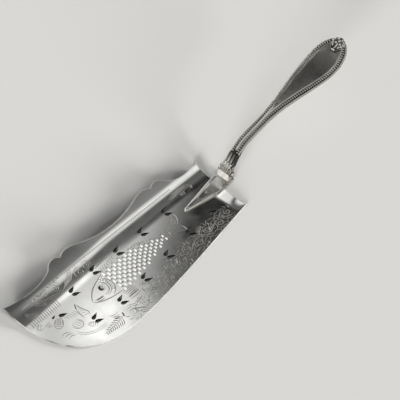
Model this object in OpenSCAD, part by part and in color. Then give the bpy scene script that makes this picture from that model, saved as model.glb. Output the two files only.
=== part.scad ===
// Fish server in silver: a pierced serving blade with one side turned up, riveted under a
// V-shaped tongue that carries an arched handle edged with beaded and plain wire.
// Millimetres. X runs from the blade's front to the handle's end, Y points to the turned-up
// side and Z is up. The blade rests on Z = 0, and the origin is the middle of its length there.

/* [Blade] */
// Length of the blade from heel to front edge, on the handle's line
blade_len = 170; // [155:0.5:190]
// Thickness of the sheet
sheet_t = 1.2; // [0.8:0.1:1.8]
// Reach of the heel corner on the plain side
heel_right = 25.6; // [20:0.1:32]
// Reach of the heel corner on the turned-up side
heel_left = 24.2; // [22:0.1:27]
// Greatest reach of the plain side
plain_reach = 41.7; // [34:0.1:50]
// Distance from the heel to the plain side's greatest reach
plain_reach_at = 118; // [105:1:130]
// How far the pointed corners stand beyond the heel and front edges
ear = 2.3; // [1:0.1:4]

/* [Turned-up side] */
// Width of the flat floor on this side of the handle's line
flat_to = 8; // [6:0.5:12]
// Radius of the first sweep upwards
sweep_r = 45; // [35:1:60]
// Slope at the end of that sweep, in degrees
sweep_angle = 16; // [12:1:20]
// Radius of the crease above it
crease_r = 6; // [3:0.5:10]
// Slope of the outer strip, in degrees
strip_angle = 30; // [24:1:36]
// Reach of the lobes of the wavy edge
lobe_reach = 30; // [28:0.1:33]
// Reach of the notch inside each pair of lobes
notch_reach = 27.8; // [26:0.1:30]
// Reach of the dip between the two pairs
dip_reach = 24.5; // [23:0.1:27]
// Distance from the heel to the middle of the wavy edge
wave_mid = 79; // [72:0.5:86]
// Distance from that middle to each notch
notch_from_mid = 41; // [36:0.5:46]

/* [Piercing] */
// Length of a comma-shaped hole
comma_len = 5.6; // [3:0.1:6]
// Width of a comma-shaped hole
comma_w = 2.6; // [1:0.1:2.8]
// Spacing of the two holes of a pair
pair_gap = 4.4; // [3.6:0.1:5]
// Turn of each hole away from the other one of its pair, in degrees
comma_splay = 8; // [0:1:20]
// Distance from the heel to the first pair of each row
row_start = 42; // [38:0.5:46]
// Distance from the last pair of the longer row to the front edge
row_end = 20.5; // [17:0.5:26]
// Offset of the row beside the turned-up side
left_row = 7.5; // [6.5:0.1:9]
// Offset of the first pair of the row beside the plain side
right_row = 15.4; // [13:0.1:18]
// Distance from the heel to the two single holes
single_at = 19.5; // [16:0.1:23]
// Offset of the single holes from the handle's line
single_out = 12.5; // [11:0.1:14]

/* [Tongue] */
// Length of the tongue in front of the heel
tongue_len = 32.7; // [28:0.1:38]
// Half width of the tongue at the heel
tongue_half_w = 6.6; // [5.8:0.1:8]
// Half width of the tongue's blunt tip
tongue_tip_w = 0.9; // [0.5:0.1:1.4]
// Length of the pad behind the heel that the handle stands on
pad_len = 9; // [8:0.1:12]
// Height of the pad and of the flanges at the heel
pad_z = 3.4; // [2.8:0.1:4.4]
// Height of the flanges at the tip
tongue_tip_z = 2.4; // [2:0.1:3]
// Width of the raised flanges
flange_w = 2; // [1.4:0.1:2.4]
// Depth of the sunk panel between the flanges
sunk_depth = 0.7; // [0.4:0.1:0.9]
// Distance from the heel to the rivet
rivet_at = 11.7; // [9:0.1:14]
// Diameter of the rivet's shank
rivet_d = 2; // [1.5:0.1:2.6]
// Diameter of the rivet's domed head
rivet_head_d = 3.2; // [2.8:0.1:4]
// Height of the rivet's domed head
rivet_head_h = 0.6; // [0.4:0.1:0.9]
// Clearance round the rivet's shank
rivet_clear = 0.05; // [0.03:0.01:0.1]

/* [Handle] */
// Length of the handle behind the heel
handle_len = 122; // [112:0.5:134]
// Distance from the heel to the front of the handle's foot
foot_at = 3; // [2:0.1:4]
// Slope of the neck at the foot, in degrees
foot_angle = 58; // [50:1:64]
// Distance from the heel to the top of the neck's bend
bend_at = 26; // [23:0.5:30]
// Height of the handle at the neck's bend
bend_z = 27.6; // [24:0.2:32]
// Slope of the stem at the neck's bend, in degrees
bend_angle = 16; // [12:1:20]
// Distance from the heel to the start of the turned-up end
upturn_at = 92; // [84:0.5:98]
// Height of the handle there
upturn_z = 40.2; // [36:0.2:44]
// Slope of the stem there, in degrees
upturn_angle = 6.5; // [3:0.5:10]
// Height of the handle's tip
tip_z = 50.3; // [46:0.2:55]
// Slope of the handle at its tip, in degrees
tip_angle = 20; // [12:1:28]
// Half width of the foot
foot_half_w = 5.2; // [4.4:0.1:5.6]
// Half width of the stem
stem_half_w = 3.75; // [3.3:0.05:4.2]
// Half width of the oval end
end_half_w = 12.3; // [10:0.1:15]
// Distance from the heel to the place where the neck has drawn in to the stem
stem_from = 12.5; // [11:0.5:14]
// Distance from the heel to the place where the stem starts to widen
swell_from = 42; // [36:0.5:48]
// Distance from the heel to the widest place of the oval end
widest_at = 104; // [100:0.5:108]
// Thickness of the neck and stem
stem_t = 4; // [3:0.1:5]
// Thickness of the oval end
end_t = 2.6; // [2.2:0.1:3.4]
// Depth of the sunk panel in the oval end
panel_depth = 0.5; // [0.3:0.05:0.8]
// Width of the land between the panel and the beads
land_w = 0.8; // [0.5:0.05:1.1]
// Rise of the land and its panel above the wires, where it is greatest
crown_h = 1.6; // [1:0.1:2]

/* [Wires] */
// Diameter of a bead
bead_d = 1.85; // [1.5:0.05:2.1]
// Spacing of the beads
bead_pitch = 1.7; // [1.3:0.05:2]
// Diameter of the wire between two beads
bead_neck_d = 0.9; // [0.6:0.05:1.1]
// Diameter of the plain rim wire
rim_d = 0.9; // [0.7:0.05:1]
// Clearance between the two wires
wire_clear = 0.05; // [0.02:0.01:0.1]
// Distance from the heel to the start of both wires
wire_from = 15; // [15:0.5:18]

/* [Leaves] */
// Distance from the heel to the tip of the neck leaf
neck_leaf_to = 14.5; // [12:0.5:14.5]
// Half width of the neck leaf at its lobes
neck_leaf_half_w = 7; // [6:0.1:8]
// Height of the neck leaf's crown above the handle
neck_leaf_crown = 1.4; // [0.8:0.1:2]
// Length of the leaf at the handle's tip
tip_leaf_len = 10.5; // [8:0.5:13]
// Half width of the leaf at the handle's tip
tip_leaf_half_w = 5.4; // [4.6:0.1:6.4]
// Height of that leaf's crown above the handle
tip_leaf_crown = 1.2; // [0.8:0.1:1.8]
// Thickness of both leaves at their edges
leaf_edge_t = 0.35; // [0.2:0.05:0.6]

/* [Hidden] */

heel_x = blade_len / 2;     // the heel's place in the part's frame
hair = 0.01;                // overlap that keeps cuts clean
silver = "silver";
worn_silver = "gainsboro";

// Smooth step from 0 to 1
function step01(t) = let (u = min(max(t, 0), 1)) u * u * (3 - 2 * u);

// Points of a cubic curve from a to d, without its last point
function curve(a, b, c, d, n = 10) =
    [for (i = [0:n - 1]) let (t = i / n, s = 1 - t)
        s * s * s * a + 3 * s * s * t * b + 3 * s * t * t * c + t * t * t * d];

// Control points of a curve that leaves p and reaches q at the given slopes
function span(p, slope_p, q, slope_q) =
    let (reach = 0.34 * norm(q - p))
    [p, p + reach * [cos(slope_p), sin(slope_p)], q - reach * [cos(slope_q), sin(slope_q)], q];

// Solid skinned over a list of closed rings that have equally many points, with a fan of
// triangles round the middle of the first and the last ring
function middle(ring) = [for (p = ring) 1] * ring / len(ring);

module skin(rings) {
    m = len(rings[0]);
    last = len(rings) - 1;
    points = concat([for (ring = rings) each ring], [middle(rings[0]), middle(rings[last])]);
    start = len(rings) * m;
    sides = [for (i = [0:last - 1], j = [0:m - 1]) let (k = (j + 1) % m, a = i * m, b = a + m)
        each [[a + j, a + k, b + k], [a + j, b + k, b + j]]];
    first_cap = [for (j = [0:m - 1]) [start, (j + 1) % m, j]];
    last_cap = [for (j = [0:m - 1]) [start + 1, last * m + j, last * m + (j + 1) % m]];
    polyhedron(points, concat(sides, first_cap, last_cap), convexity = 10);
}

module at_heel() { translate([heel_x, 0, 0]) children(); }

// Blade outline, seen from above with the heel at X = 0
lobe_w = 12;                       // length of one lobe along the edge
front_notch = -wave_mid - notch_from_mid;
heel_notch = -wave_mid + notch_from_mid;
front_x = -blade_len;
front_ear = [front_x - ear, heel_left];
heel_ear = [ear, heel_left];
plain_ear = [0.3, -heel_right];
widest = [-plain_reach_at, -plain_reach];
lobe_peak = lobe_reach + 0.6;      // control height that brings the lobes to their reach

plain_side = curve(plain_ear, plain_ear + [-40, -6], widest + [28, 0.7], widest);
front_corner = curve(widest, widest + [-32, -0.8], [front_x + 4, -27], [front_x, 3], 14);
front_edge = curve([front_x, 3], [front_x - 1, 10], [front_x - 1, heel_left - 7], front_ear, 6);

// Half of the wavy edge, from the middle dip out to an ear; side is 1 towards the heel
function wave_half(side, notch_x, ear_point) =
    let (mid = [-wave_mid, dip_reach],
         notch = [notch_x, notch_reach],
         inner = [notch_x - side * 1.3 * lobe_w, notch_reach + 0.4],
         outer = [notch_x + side * lobe_w, notch_reach - 1.5])
    concat(curve(mid, mid + [side * 10, 0], inner - [side * 7, 2.1], inner, 8),
           curve(inner, [inner[0] + side * 6, lobe_peak - 0.4], [notch_x - side * 3, lobe_peak], notch, 8),
           curve(notch, [notch_x + side * 3, lobe_peak], [outer[0] - side * 3, lobe_peak - 0.4], outer, 8),
           curve(outer, [outer[0] + side * 8, dip_reach - 3.6],
                 ear_point - [side * 11, 3.2], ear_point, 10));

function backwards(list) = [for (i = [len(list) - 1:-1:0]) list[i]];

heel_edge = concat(curve(heel_ear, [-0.5, heel_left - 4.2], [0.3, 12], [0, 5], 6),
                   curve([0, 5], [-1.5, -6], [-4, 7 - heel_right], plain_ear, 8));
blade_outline = concat(plain_side, front_corner, front_edge, [front_ear],
                       backwards(wave_half(-1, front_notch, front_ear)),
                       wave_half(1, heel_notch, heel_ear), heel_edge);

// Sheet section across the blade: flat floor, sweep, crease and straight outer strip
margin = 20;                       // spare width that the outline cuts away
function arc_points(centre, r, from, to, n) =
    [for (i = [0:n]) let (a = from + (to - from) * i / n) centre + r * [sin(a), -cos(a)]];
sweep_centre = [flat_to, sweep_r];
crease_centre = sweep_centre + (sweep_r - crease_r) * [sin(sweep_angle), -cos(sweep_angle)];
strip_start = crease_centre + crease_r * [sin(strip_angle), -cos(strip_angle)];
strip_end = strip_start + margin * [cos(strip_angle), sin(strip_angle)];
lift = sheet_t * [-sin(strip_angle), cos(strip_angle)];
under_side = concat(arc_points(sweep_centre, sweep_r, 0, sweep_angle, 8),
                    arc_points(crease_centre, crease_r, sweep_angle + 3, strip_angle, 4), [strip_end]);
upper_side = concat(arc_points(sweep_centre, sweep_r - sheet_t, 0, sweep_angle, 8),
                    arc_points(crease_centre, crease_r - sheet_t, sweep_angle + 3, strip_angle, 4),
                    [strip_end + lift]);
floor_edge = -plain_reach - margin;
sheet_section = concat([[floor_edge, 0]], under_side, backwards(upper_side), [[floor_edge, sheet_t]]);

// One comma-shaped hole, its round head towards the front and its tail bent to one side
comma_steps = 8;
comma_bend = 0.9;                  // how far the tail bends
function comma_half(edge) =
    [for (i = [0:comma_steps]) let (t = i / comma_steps)
        [comma_len * (t - 0.5),
         edge * 1.35 * comma_w * sqrt(t) * pow(1 - t, 1.2) + comma_bend * (t * t - 0.3)]];
module comma(side, size = 1) {
    round_trip = concat(comma_half(-1), [for (i = [comma_steps - 1:-1:1]) comma_half(1)[i]]);
    translate([0, 0, -margin]) linear_extrude(2 * margin) rotate(side * comma_splay)
        polygon([for (p = round_trip) size * [p[0], side * p[1]]]);
}

// Centres of the hole pairs: the left row turns in round the front, the right row runs
// beside the plain side, and both draw together a little at the front. The last pair of the
// left row lies along the blade, and its front hole is a small one. The two single holes
// beside the tongue aren't quite level with each other
left_pairs = 6;
pair_pitch = (blade_len - row_start - row_end) / (left_pairs - 1);
left_centres = [for (i = [0:left_pairs - 1])
    [-row_start - i * (pair_pitch + 0.36 * (left_pairs - 1 - i)),
     left_row + 0.8 * max(1 - i, 0) - 2 * pow(max(i - 2.8, 0), 2)]];
right_centres = [for (i = [0:left_pairs - 2]) let (turn_in = pow(max(i - 2, 0), 3))
    [-row_start - 1 - i * (pair_pitch + 1.9) + 0.35 * turn_in, -right_row - 2.6 * i + 0.6 * turn_in]];

last_pair_gap = [-1.25, 0.65] * pair_gap;

module blade() {
    color(silver) at_heel() difference() {
        intersection() {
            translate([front_x - margin, 0, 0]) rotate([90, 0, 90])
                linear_extrude(blade_len + 2 * margin) polygon(sheet_section);
            translate([0, 0, -margin]) linear_extrude(3 * margin) polygon(blade_outline);
        }
        for (centre = concat([for (i = [0:left_pairs - 2]) left_centres[i]], right_centres), side = [-1, 1])
            translate([centre[0], centre[1] + side * pair_gap / 2, 0]) comma(side);
        translate(left_centres[left_pairs - 1] - last_pair_gap / 2) comma(-1);
        translate(left_centres[left_pairs - 1] + last_pair_gap / 2) comma(1, 0.5);
        for (side = [-1, 1]) translate([0.8 * side - single_at, side * single_out - 1.4, 0]) comma(side);
        rivet_hole();
    }
}

module rivet_hole() {
    translate([-rivet_at, 0, -hair]) cylinder(d = rivet_d + 2 * rivet_clear, h = pad_z + 2 * hair, $fn = 48);
}

// Tongue: a V-shaped plate, thicker towards the heel, with a sunk panel that ramps up to the pad
pad_end_w = foot_half_w + 0.2;
function tongue_top(x) = tongue_tip_z + (pad_z - tongue_tip_z) * (x + tongue_len) / tongue_len;
function tongue_half(x) = tongue_tip_w + (tongue_half_w - tongue_tip_w) * (x + tongue_len) / tongue_len;
panel_from = -tongue_len + 2.2 * flange_w;
panel_to = -0.06 * tongue_len;
ramp_from = -0.2 * tongue_len;

module tongue_plan() {
    right_half = [[-tongue_len, -tongue_tip_w], [0, -tongue_half_w], [pad_len, -pad_end_w]];
    polygon(concat(right_half, [for (p = backwards(right_half)) [p[0], -p[1]]]));
}

module sunk_panel() {
    inset = flange_w * 1.04;
    panel_tip = max(tongue_half(panel_from) - inset, 0.1);
    panel_heel = tongue_half(panel_to) - inset;
    intersection() {
        translate([0, 0, sheet_t]) linear_extrude(pad_z) polygon([
            [panel_from, -panel_tip], [panel_to, -panel_heel], [panel_to, panel_heel], [panel_from, panel_tip]]);
        rotate([90, 0, 0]) linear_extrude(2 * tongue_half_w, center = true) polygon([
            [panel_from, tongue_top(panel_from) - sunk_depth], [ramp_from, tongue_top(ramp_from) - sunk_depth],
            [panel_to, tongue_top(panel_to) + hair], [panel_to, 2 * pad_z], [panel_from, 2 * pad_z]]);
    }
}

module heel_tongue() {
    color(worn_silver) at_heel() difference() {
        intersection() {
            translate([0, 0, sheet_t]) linear_extrude(pad_z) tongue_plan();
            rotate([90, 0, 0]) linear_extrude(4 * tongue_half_w, center = true) polygon([
                [-tongue_len, 0], [-tongue_len, tongue_tip_z], [0, pad_z], [pad_len, pad_z], [pad_len, 0]]);
        }
        sunk_panel();
        rivet_hole();
    }
}

// Rivet: shank flush with the blade's underside, low domed head on the sunk panel
head_z = tongue_top(-rivet_at) - sunk_depth + 0.1;
dome_r = (rivet_head_d * rivet_head_d / 4 + rivet_head_h * rivet_head_h) / (2 * rivet_head_h);

module tongue_rivet() {
    color(worn_silver) at_heel() translate([-rivet_at, 0, 0]) {
        cylinder(d = rivet_d, h = head_z + hair, $fn = 48);
        intersection() {
            translate([0, 0, head_z]) cylinder(d = rivet_head_d, h = rivet_head_h, $fn = 48);
            translate([0, 0, head_z + rivet_head_h - dome_r]) sphere(r = dome_r, $fn = 64);
        }
    }
}

// Handle line: height and slope of the handle's upper side along X from the heel
neck_span = span([foot_at, pad_z], foot_angle, [bend_at, bend_z], bend_angle);
stem_span = span([bend_at, bend_z], bend_angle, [upturn_at, upturn_z], upturn_angle);
end_span = span([upturn_at, upturn_z], upturn_angle, [handle_len, tip_z], tip_angle);
beyond_tip = [handle_len, tip_z] + 4 * [cos(tip_angle), sin(tip_angle)];
function points_of(s) = curve(s[0], s[1], s[2], s[3], 16);
handle_line = concat(points_of(neck_span), points_of(stem_span), points_of(end_span),
                     [[handle_len, tip_z], beyond_tip]);
function line_z(x) = lookup(x, handle_line);
function line_slope(x) = atan2(line_z(x + 0.3) - line_z(x - 0.3), 0.6);

// Point beside the handle line: x along it, y across it, n above it at a right angle
function on_handle(x, y, n) =
    let (a = x <= foot_at ? foot_angle : line_slope(x)) [x - n * sin(a), y, line_z(x) + n * cos(a)];

// Half width of the handle in plan
end_len = handle_len - widest_at;
function half_width(x) =
    x < stem_from ? foot_half_w + (stem_half_w - foot_half_w) * step01((x - foot_at) / (stem_from - foot_at))
    : x < widest_at ? stem_half_w
        + (end_half_w - stem_half_w) * step01((x - swell_from) / (widest_at - swell_from))
    : end_half_w * sqrt(max(1 - pow((x - widest_at) / end_len, 2), 0));
function width_slope(x) = (half_width(x + 0.2) - half_width(x - 0.2)) / 0.4;
function thickness(x) = stem_t + (end_t - stem_t) * step01((x - swell_from) / (upturn_at - swell_from));

// Rise of the land above the wires: from nothing on the stem to its greatest, and down again
function crown(x) = crown_h * lookup(x, [[swell_from - 4, 0], [swell_from + 18, 1],
    [upturn_at - 14, 1], [upturn_at, 0.6], [widest_at + 4, 0]]);

// Seat for the two wires along the handle's edges
seat_depth = bead_d / 2;
bead_inset = rim_d + wire_clear + bead_d / 2;
seat_w = bead_inset + bead_d / 2;

// Ring of the handle's cross section at x
function core_ring(x) =
    let (w = half_width(x), t = thickness(x),
         stretch = sqrt(1 + pow(width_slope(x), 2)),
         seat = max(seat_depth * step01((x - stem_from) / (wire_from - stem_from)), 0.05),
         land = max(w - seat_w * stretch, 0.4),
         panel = max(land - land_w * stretch, 0.25),
         sunk = panel_depth * step01((panel - 0.6) / 1.5), rise = crown(x),
         half = [[panel, rise - sunk], [panel + 0.1, rise], [land, rise], [land, -seat], [w, -seat],
                 [w, -0.5 * t - 0.2], [0.72 * w, -0.88 * t], [0.3 * w, -t]])
    concat([for (p = half) on_handle(x, p[0], p[1])],
           [for (p = backwards(half)) on_handle(x, -p[0], p[1])]);

// The foot's ring slid along the neck on to the top of the pad
function foot_ring() =
    [for (p = core_ring(foot_at)) p + [1 / tan(foot_angle), 0, 1] * (pad_z - p[2])];

neck_stations = [for (i = [1:12]) foot_at + (bend_at - foot_at) * i / 12];
stem_stations = [for (i = [1:26]) bend_at + (widest_at - bend_at) * i / 26];
end_stations = [for (a = [10:8:82]) widest_at + end_len * sin(a)];
core_stations = concat(neck_stations, stem_stations, end_stations);

module handle_core() {
    color(silver) at_heel() skin(concat([foot_ring()], [for (x = core_stations) core_ring(x)]));
}

// Path of a wire along the handle's edge, set in from it, from the neck to the tip leaf
edge_stations = concat([for (i = [0:60]) wire_from + (widest_at - wire_from) * i / 60],
                       [for (a = [4:4:84]) widest_at + end_len * sin(a)]);
function inset_point(x, inset) =
    let (k = width_slope(x)) [x, half_width(x)] + inset * [k, -1] / sqrt(1 + k * k);
function wire_plan(inset) =
    [for (x = edge_stations) let (p = inset_point(x, inset))
        if (x < widest_at || p[1] > tip_leaf_half_w + bead_d / 2) p];
function wire_path(inset, n) = [for (p = wire_plan(inset)) on_handle(p[0], p[1], n)];
function run_lengths(path) =
    [for (i = 0, s = 0; i < len(path);
          s = s + (i + 1 < len(path) ? norm(path[i + 1] - path[i]) : 0), i = i + 1) s];

// Ring of a round wire: its centre, direction and radius
wire_sides = 6;
function unit(v) = v / norm(v);
function wire_ring(centre, direction, r) =
    let (u = unit(cross(direction, [0, 0, 1])), v = cross(u, direction))
    [for (j = [0:wire_sides - 1]) centre + r * (cos(60 * j) * u - sin(60 * j) * v)];

// Wire of changing radius along a path: one radius for each step of the given length
module wire(path, step_len, radii) {
    lengths = run_lengths(path);
    axes = [for (k = [0:2]) [for (i = [0:len(path) - 1]) [lengths[i], path[i][k]]]];
    function place(s) = [for (k = [0:2]) lookup(s, axes[k])];
    steps = floor(lengths[len(path) - 1] / step_len);
    skin([for (i = [0:steps]) let (s = i * step_len)
        wire_ring(place(s), unit(place(s + 0.2) - place(s - 0.2)), radii[i % len(radii)])]);
}

module bead_wire() {
    wire(wire_path(bead_inset, 0), bead_pitch / 3, [bead_neck_d / 2, bead_d / 2, bead_d / 2]);
}

module rim_wire() {
    wire(wire_path(rim_d / 2, rim_d / 2 - seat_depth), bead_pitch / 2, [rim_d / 2]);
}

module bead_wire_left() { color(worn_silver) at_heel() bead_wire(); }

module bead_wire_right() { color(worn_silver) at_heel() mirror([0, 1, 0]) bead_wire(); }

module rim_wire_left() { color(silver) at_heel() rim_wire(); }

module rim_wire_right() { color(silver) at_heel() mirror([0, 1, 0]) rim_wire(); }

// Leaf ring at x: flat below, crowned above, with the given half width
leaf_sides = 8;
function leaf_ring(x, w, crown) =
    concat([for (j = [0:leaf_sides]) let (v = 1 - 2 * j / leaf_sides)
               on_handle(x, w * v, leaf_edge_t + crown * (1 - v * v) * (0.82 + 0.18 * cos(720 * v)))],
           [on_handle(x, -w, 0), on_handle(x, 0, 0), on_handle(x, w, 0)]);

// Neck leaf: broad lobes over the foot, drawn out to a point up the neck
neck_leaf_from = foot_at + 0.1;
function neck_leaf_half(u) =
    foot_half_w + (neck_leaf_half_w - foot_half_w) * sin(180 * min(u / 0.55, 1))
    - (foot_half_w - 0.5) * step01((u - 0.3) / 0.7) + 0.35 * sin(1080 * u) * (1 - u);

module neck_leaf() {
    color(worn_silver) at_heel() skin([for (i = [0:18])
        let (u = i / 18, x = neck_leaf_from + u * (neck_leaf_to - neck_leaf_from))
        leaf_ring(x, neck_leaf_half(u), neck_leaf_crown * (1 - 0.6 * u))]);
}

// Tip leaf: a palmette that closes the two wires and wraps the handle's tip
tip_leaf_over = 0.6;
function tip_leaf_half(u) =
    0.7 + (tip_leaf_half_w - 0.7) * pow(sin(180 * pow(u, 1.7)), 0.8) * (1 - 0.1 * cos(900 * u));

module tip_leaf() {
    color(worn_silver) at_heel() skin([for (i = [0:16])
        let (u = i / 16, x = handle_len + tip_leaf_over - tip_leaf_len * (1 - u))
        leaf_ring(x, tip_leaf_half(u), tip_leaf_crown * (0.35 + 0.65 * sin(150 * u)))]);
}

blade();
heel_tongue();
tongue_rivet();
handle_core();
neck_leaf();
tip_leaf();
bead_wire_left();
bead_wire_right();
rim_wire_left();
rim_wire_right();
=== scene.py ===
"""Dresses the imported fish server: an engraved and pierced blade, a bead-edged handle with cast
leaves, and a plain studio round them. Lengths inside the functions are millimetres from the heel."""

import math
from types import SimpleNamespace

import bpy
import numpy as np
from bpy.props import FloatProperty, FloatVectorProperty, PointerProperty
from mathutils import Matrix


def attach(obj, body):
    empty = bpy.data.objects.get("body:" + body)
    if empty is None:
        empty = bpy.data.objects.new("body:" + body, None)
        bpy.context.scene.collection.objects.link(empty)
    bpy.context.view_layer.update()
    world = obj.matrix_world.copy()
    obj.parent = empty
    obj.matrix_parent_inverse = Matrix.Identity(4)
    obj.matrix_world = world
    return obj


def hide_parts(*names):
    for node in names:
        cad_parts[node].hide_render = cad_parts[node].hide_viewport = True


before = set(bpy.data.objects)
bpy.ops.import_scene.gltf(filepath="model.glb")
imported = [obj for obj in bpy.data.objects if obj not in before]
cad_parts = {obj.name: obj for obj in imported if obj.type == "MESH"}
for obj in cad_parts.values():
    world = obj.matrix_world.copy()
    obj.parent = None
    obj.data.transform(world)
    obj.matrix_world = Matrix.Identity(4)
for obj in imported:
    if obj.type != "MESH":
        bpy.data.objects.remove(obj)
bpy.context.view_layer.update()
MM = 0.001

bl_info = {
    "name": "Fish server",
    "version": (1, 0, 0),
    "blender": (4, 5, 0),
    "location": "3D View > Sidebar > Fish server",
    "description": "Builds the visible pieces of a silver fish server round its packed solids",
    "category": "Object",
}


# Properties: lengths are given in millimetres and kept in metres, colours are sRGB hex values

def linear(hex_code):
    """Linear RGBA of an sRGB hex value."""
    channels = [int(hex_code[i:i + 2], 16) / 255 for i in (1, 3, 5)]
    curved = [c / 12.92 if c <= 0.04045 else ((c + 0.055) / 1.055) ** 2.4 for c in channels]
    return (*curved, 1.0)


def length(mm, name, text):
    """A length given in millimetres."""
    return FloatProperty(name=name, description=text, default=mm * MM, min=0.0, precision=5,
                         unit="LENGTH")


def turn(degrees, name, text):
    """An angle given in degrees."""
    return FloatProperty(name=name, description=text, default=math.radians(degrees), subtype="ANGLE")


def share(value, name, text):
    """A plain factor."""
    return FloatProperty(name=name, description=text, default=value, min=0.0, subtype="FACTOR")


def colour(hex_code, name, text):
    """A colour given as an sRGB hex value."""
    return FloatVectorProperty(name=name, description=text, default=linear(hex_code), size=4,
                               min=0.0, max=1.0, subtype="COLOR")


class BladeSizes(bpy.types.PropertyGroup):
    """Sizes of the sheet and of its piercing"""
    blade_len: length(170, "Blade length", "From the heel to the front edge, on the handle's line")
    sheet_t: length(1.2, "Sheet", "Thickness of the sheet")
    heel_right: length(25.6, "Plain heel corner", "Reach of the heel corner on the plain side")
    heel_left: length(24.2, "Turned-up heel corner", "Reach of the heel corner on the turned-up side")
    plain_reach: length(41.7, "Plain side", "Greatest reach of the plain side")
    plain_reach_at: length(118, "Plain side's place", "From the heel to that greatest reach")
    ear: length(2.3, "Ears", "How far the pointed corners stand beyond the heel and front edges")
    floor_taper: share(0.045, "Floor taper",
                       "How much the flat floor widens towards the heel, per length")
    heel_curl: turn(13.5, "Heel curl", "Slope of the lip at the heel on the plain side")
    lobe_reach: length(30, "Lobes", "Reach of the lobes of the wavy edge")
    notch_reach: length(27.8, "Notches", "Reach of the notch inside each pair of lobes")
    dip_reach: length(24.5, "Dip", "Reach of the dip between the two pairs of lobes")
    wave_mid: length(79, "Wave middle", "From the heel to the middle of the wavy edge")
    notch_from_mid: length(41, "Notch place", "From that middle to each notch")
    edge_bevel: length(0.55, "Edge bevel", "Width of the bevel filed along the upper edge")
    comma_len: length(5.6, "Comma length", "Length of a comma-shaped hole")
    comma_w: length(2.6, "Comma width", "Width of a comma-shaped hole")
    pair_gap: length(4.4, "Pair spacing", "Spacing of the two holes of a pair")
    comma_splay: turn(8, "Comma splay", "Turn of each hole away from the other one of its pair")
    row_start: length(42, "Row start", "From the heel to the first pair of each row")
    row_end: length(20.5, "Row end", "From the last pair of the longer row to the front edge")
    left_row: length(7.5, "Left row", "Offset of the row beside the turned-up side")
    right_row: length(15.4, "Right row", "Offset of the first pair beside the plain side")
    single_at: length(19.5, "Single holes", "From the heel to the two single holes")
    single_out: length(12.5, "Single hole offset", "Offset of the single holes from the handle's line")
    hole_bevel: length(0.14, "Hole bevel", "Rounding of the holes' upper rims")


class EngravingSizes(bpy.types.PropertyGroup):
    """Sizes of the engraver's cuts"""
    fine: length(0.4, "Fine cut", "Width of a hatching cut")
    line: length(0.58, "Line cut", "Width of a scroll or leaf cut")
    bold: length(0.9, "Bold cut", "Width of an outline cut")
    broad: length(1.5, "Broad cut", "Width of a slanted bright cut")
    scale_cut: length(1.6, "Scale cut", "Width of the slanted cut of a fish scale")
    scale_deep: share(2.2, "Scale depth", "Depth of the scale cuts against plain cuts")
    steepness: share(0.36, "Steepness", "Depth of a cut as a share of its width")
    deepest: length(0.2, "Deepest cut", "Depth of the widest plain cuts")
    to_light: share(0.55, "To the light",
                    "How much wider the wall that faces the light is in a bright cut")
    from_light: share(0.5, "From the light", "How much wider the other wall is in a shaded cut")


class HandleSizes(bpy.types.PropertyGroup):
    """Sizes of the tongue, the handle and its wires"""
    tongue_len: length(32.7, "Tongue length", "Length of the tongue in front of the heel")
    tongue_half_w: length(6.6, "Tongue width", "Half width of the tongue at the heel")
    tongue_tip_w: length(0.9, "Tongue tip", "Half width of the tongue's blunt tip")
    pad_len: length(9, "Pad length", "Length of the pad behind the heel")
    pad_z: length(3.4, "Pad height", "Height of the pad and of the flanges at the heel")
    pad_slope: turn(12, "Pad slope", "Slope at which the sunk panel sweeps up to the foot")
    tongue_tip_z: length(2.4, "Tip height", "Height of the flanges at the tip")
    flange_w: length(2, "Flange", "Width of the raised flanges")
    sunk_depth: length(0.7, "Panel depth", "Depth of the sunk panel between the flanges")
    rivet_at: length(11.7, "Rivet place", "From the heel to the rivet")
    rivet_hole_d: length(2.1, "Rivet hole", "Diameter of the hole for the rivet's shank")
    handle_len: length(122, "Handle length", "Length of the handle behind the heel")
    foot_at: length(3, "Foot", "From the heel to the front of the handle's foot")
    foot_angle: turn(58, "Foot slope", "Slope of the neck at the foot")
    bend_at: length(26, "Bend", "From the heel to the top of the neck's bend")
    bend_z: length(27.6, "Bend height", "Height of the handle at the neck's bend")
    bend_angle: turn(16, "Bend slope", "Slope of the stem at the neck's bend")
    upturn_at: length(92, "Upturn", "From the heel to the start of the turned-up end")
    upturn_z: length(40.2, "Upturn height", "Height of the handle there")
    upturn_angle: turn(6.5, "Upturn slope", "Slope of the stem there")
    tip_z: length(50.3, "Tip height", "Height of the handle's tip")
    tip_angle: turn(20, "Tip slope", "Slope of the handle at its tip")
    foot_half_w: length(5.2, "Foot width", "Half width of the foot")
    stem_half_w: length(3.75, "Stem width", "Half width of the stem")
    end_half_w: length(12.3, "End width", "Half width of the oval end")
    stem_from: length(12.5, "Stem start", "From the heel to where the neck has drawn in")
    swell_from: length(42, "Swell start", "From the heel to where the stem starts to widen")
    widest_at: length(104, "Widest place", "From the heel to the widest place of the oval end")
    stem_t: length(4, "Stem thickness", "Thickness of the neck and stem")
    end_t: length(2.6, "End thickness", "Thickness of the oval end")
    panel_depth: length(0.5, "End panel", "Depth of the sunk panel in the oval end")
    land_w: length(0.8, "Land", "Width of the rounded land between the panel and the beads")
    rib_crown: length(0.4, "Rib crown", "Height of the rounded rib along the narrow stem")
    crown_h: length(1.6, "Crown", "Rise of the land and its panel above the wires, where it is greatest")
    bead_d: length(1.85, "Bead", "Diameter of a bead")
    bead_pitch: length(1.7, "Bead spacing", "Spacing of the beads")
    bead_neck_d: length(0.8, "Bead neck", "Diameter of the wire between two beads")
    rim_d: length(0.9, "Rim wire", "Diameter of the plain rim wire")
    wire_clear: length(0.05, "Wire clearance", "Clearance between the two wires")
    wire_from: length(15, "Wire start", "From the heel to the start of both wires")


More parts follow.
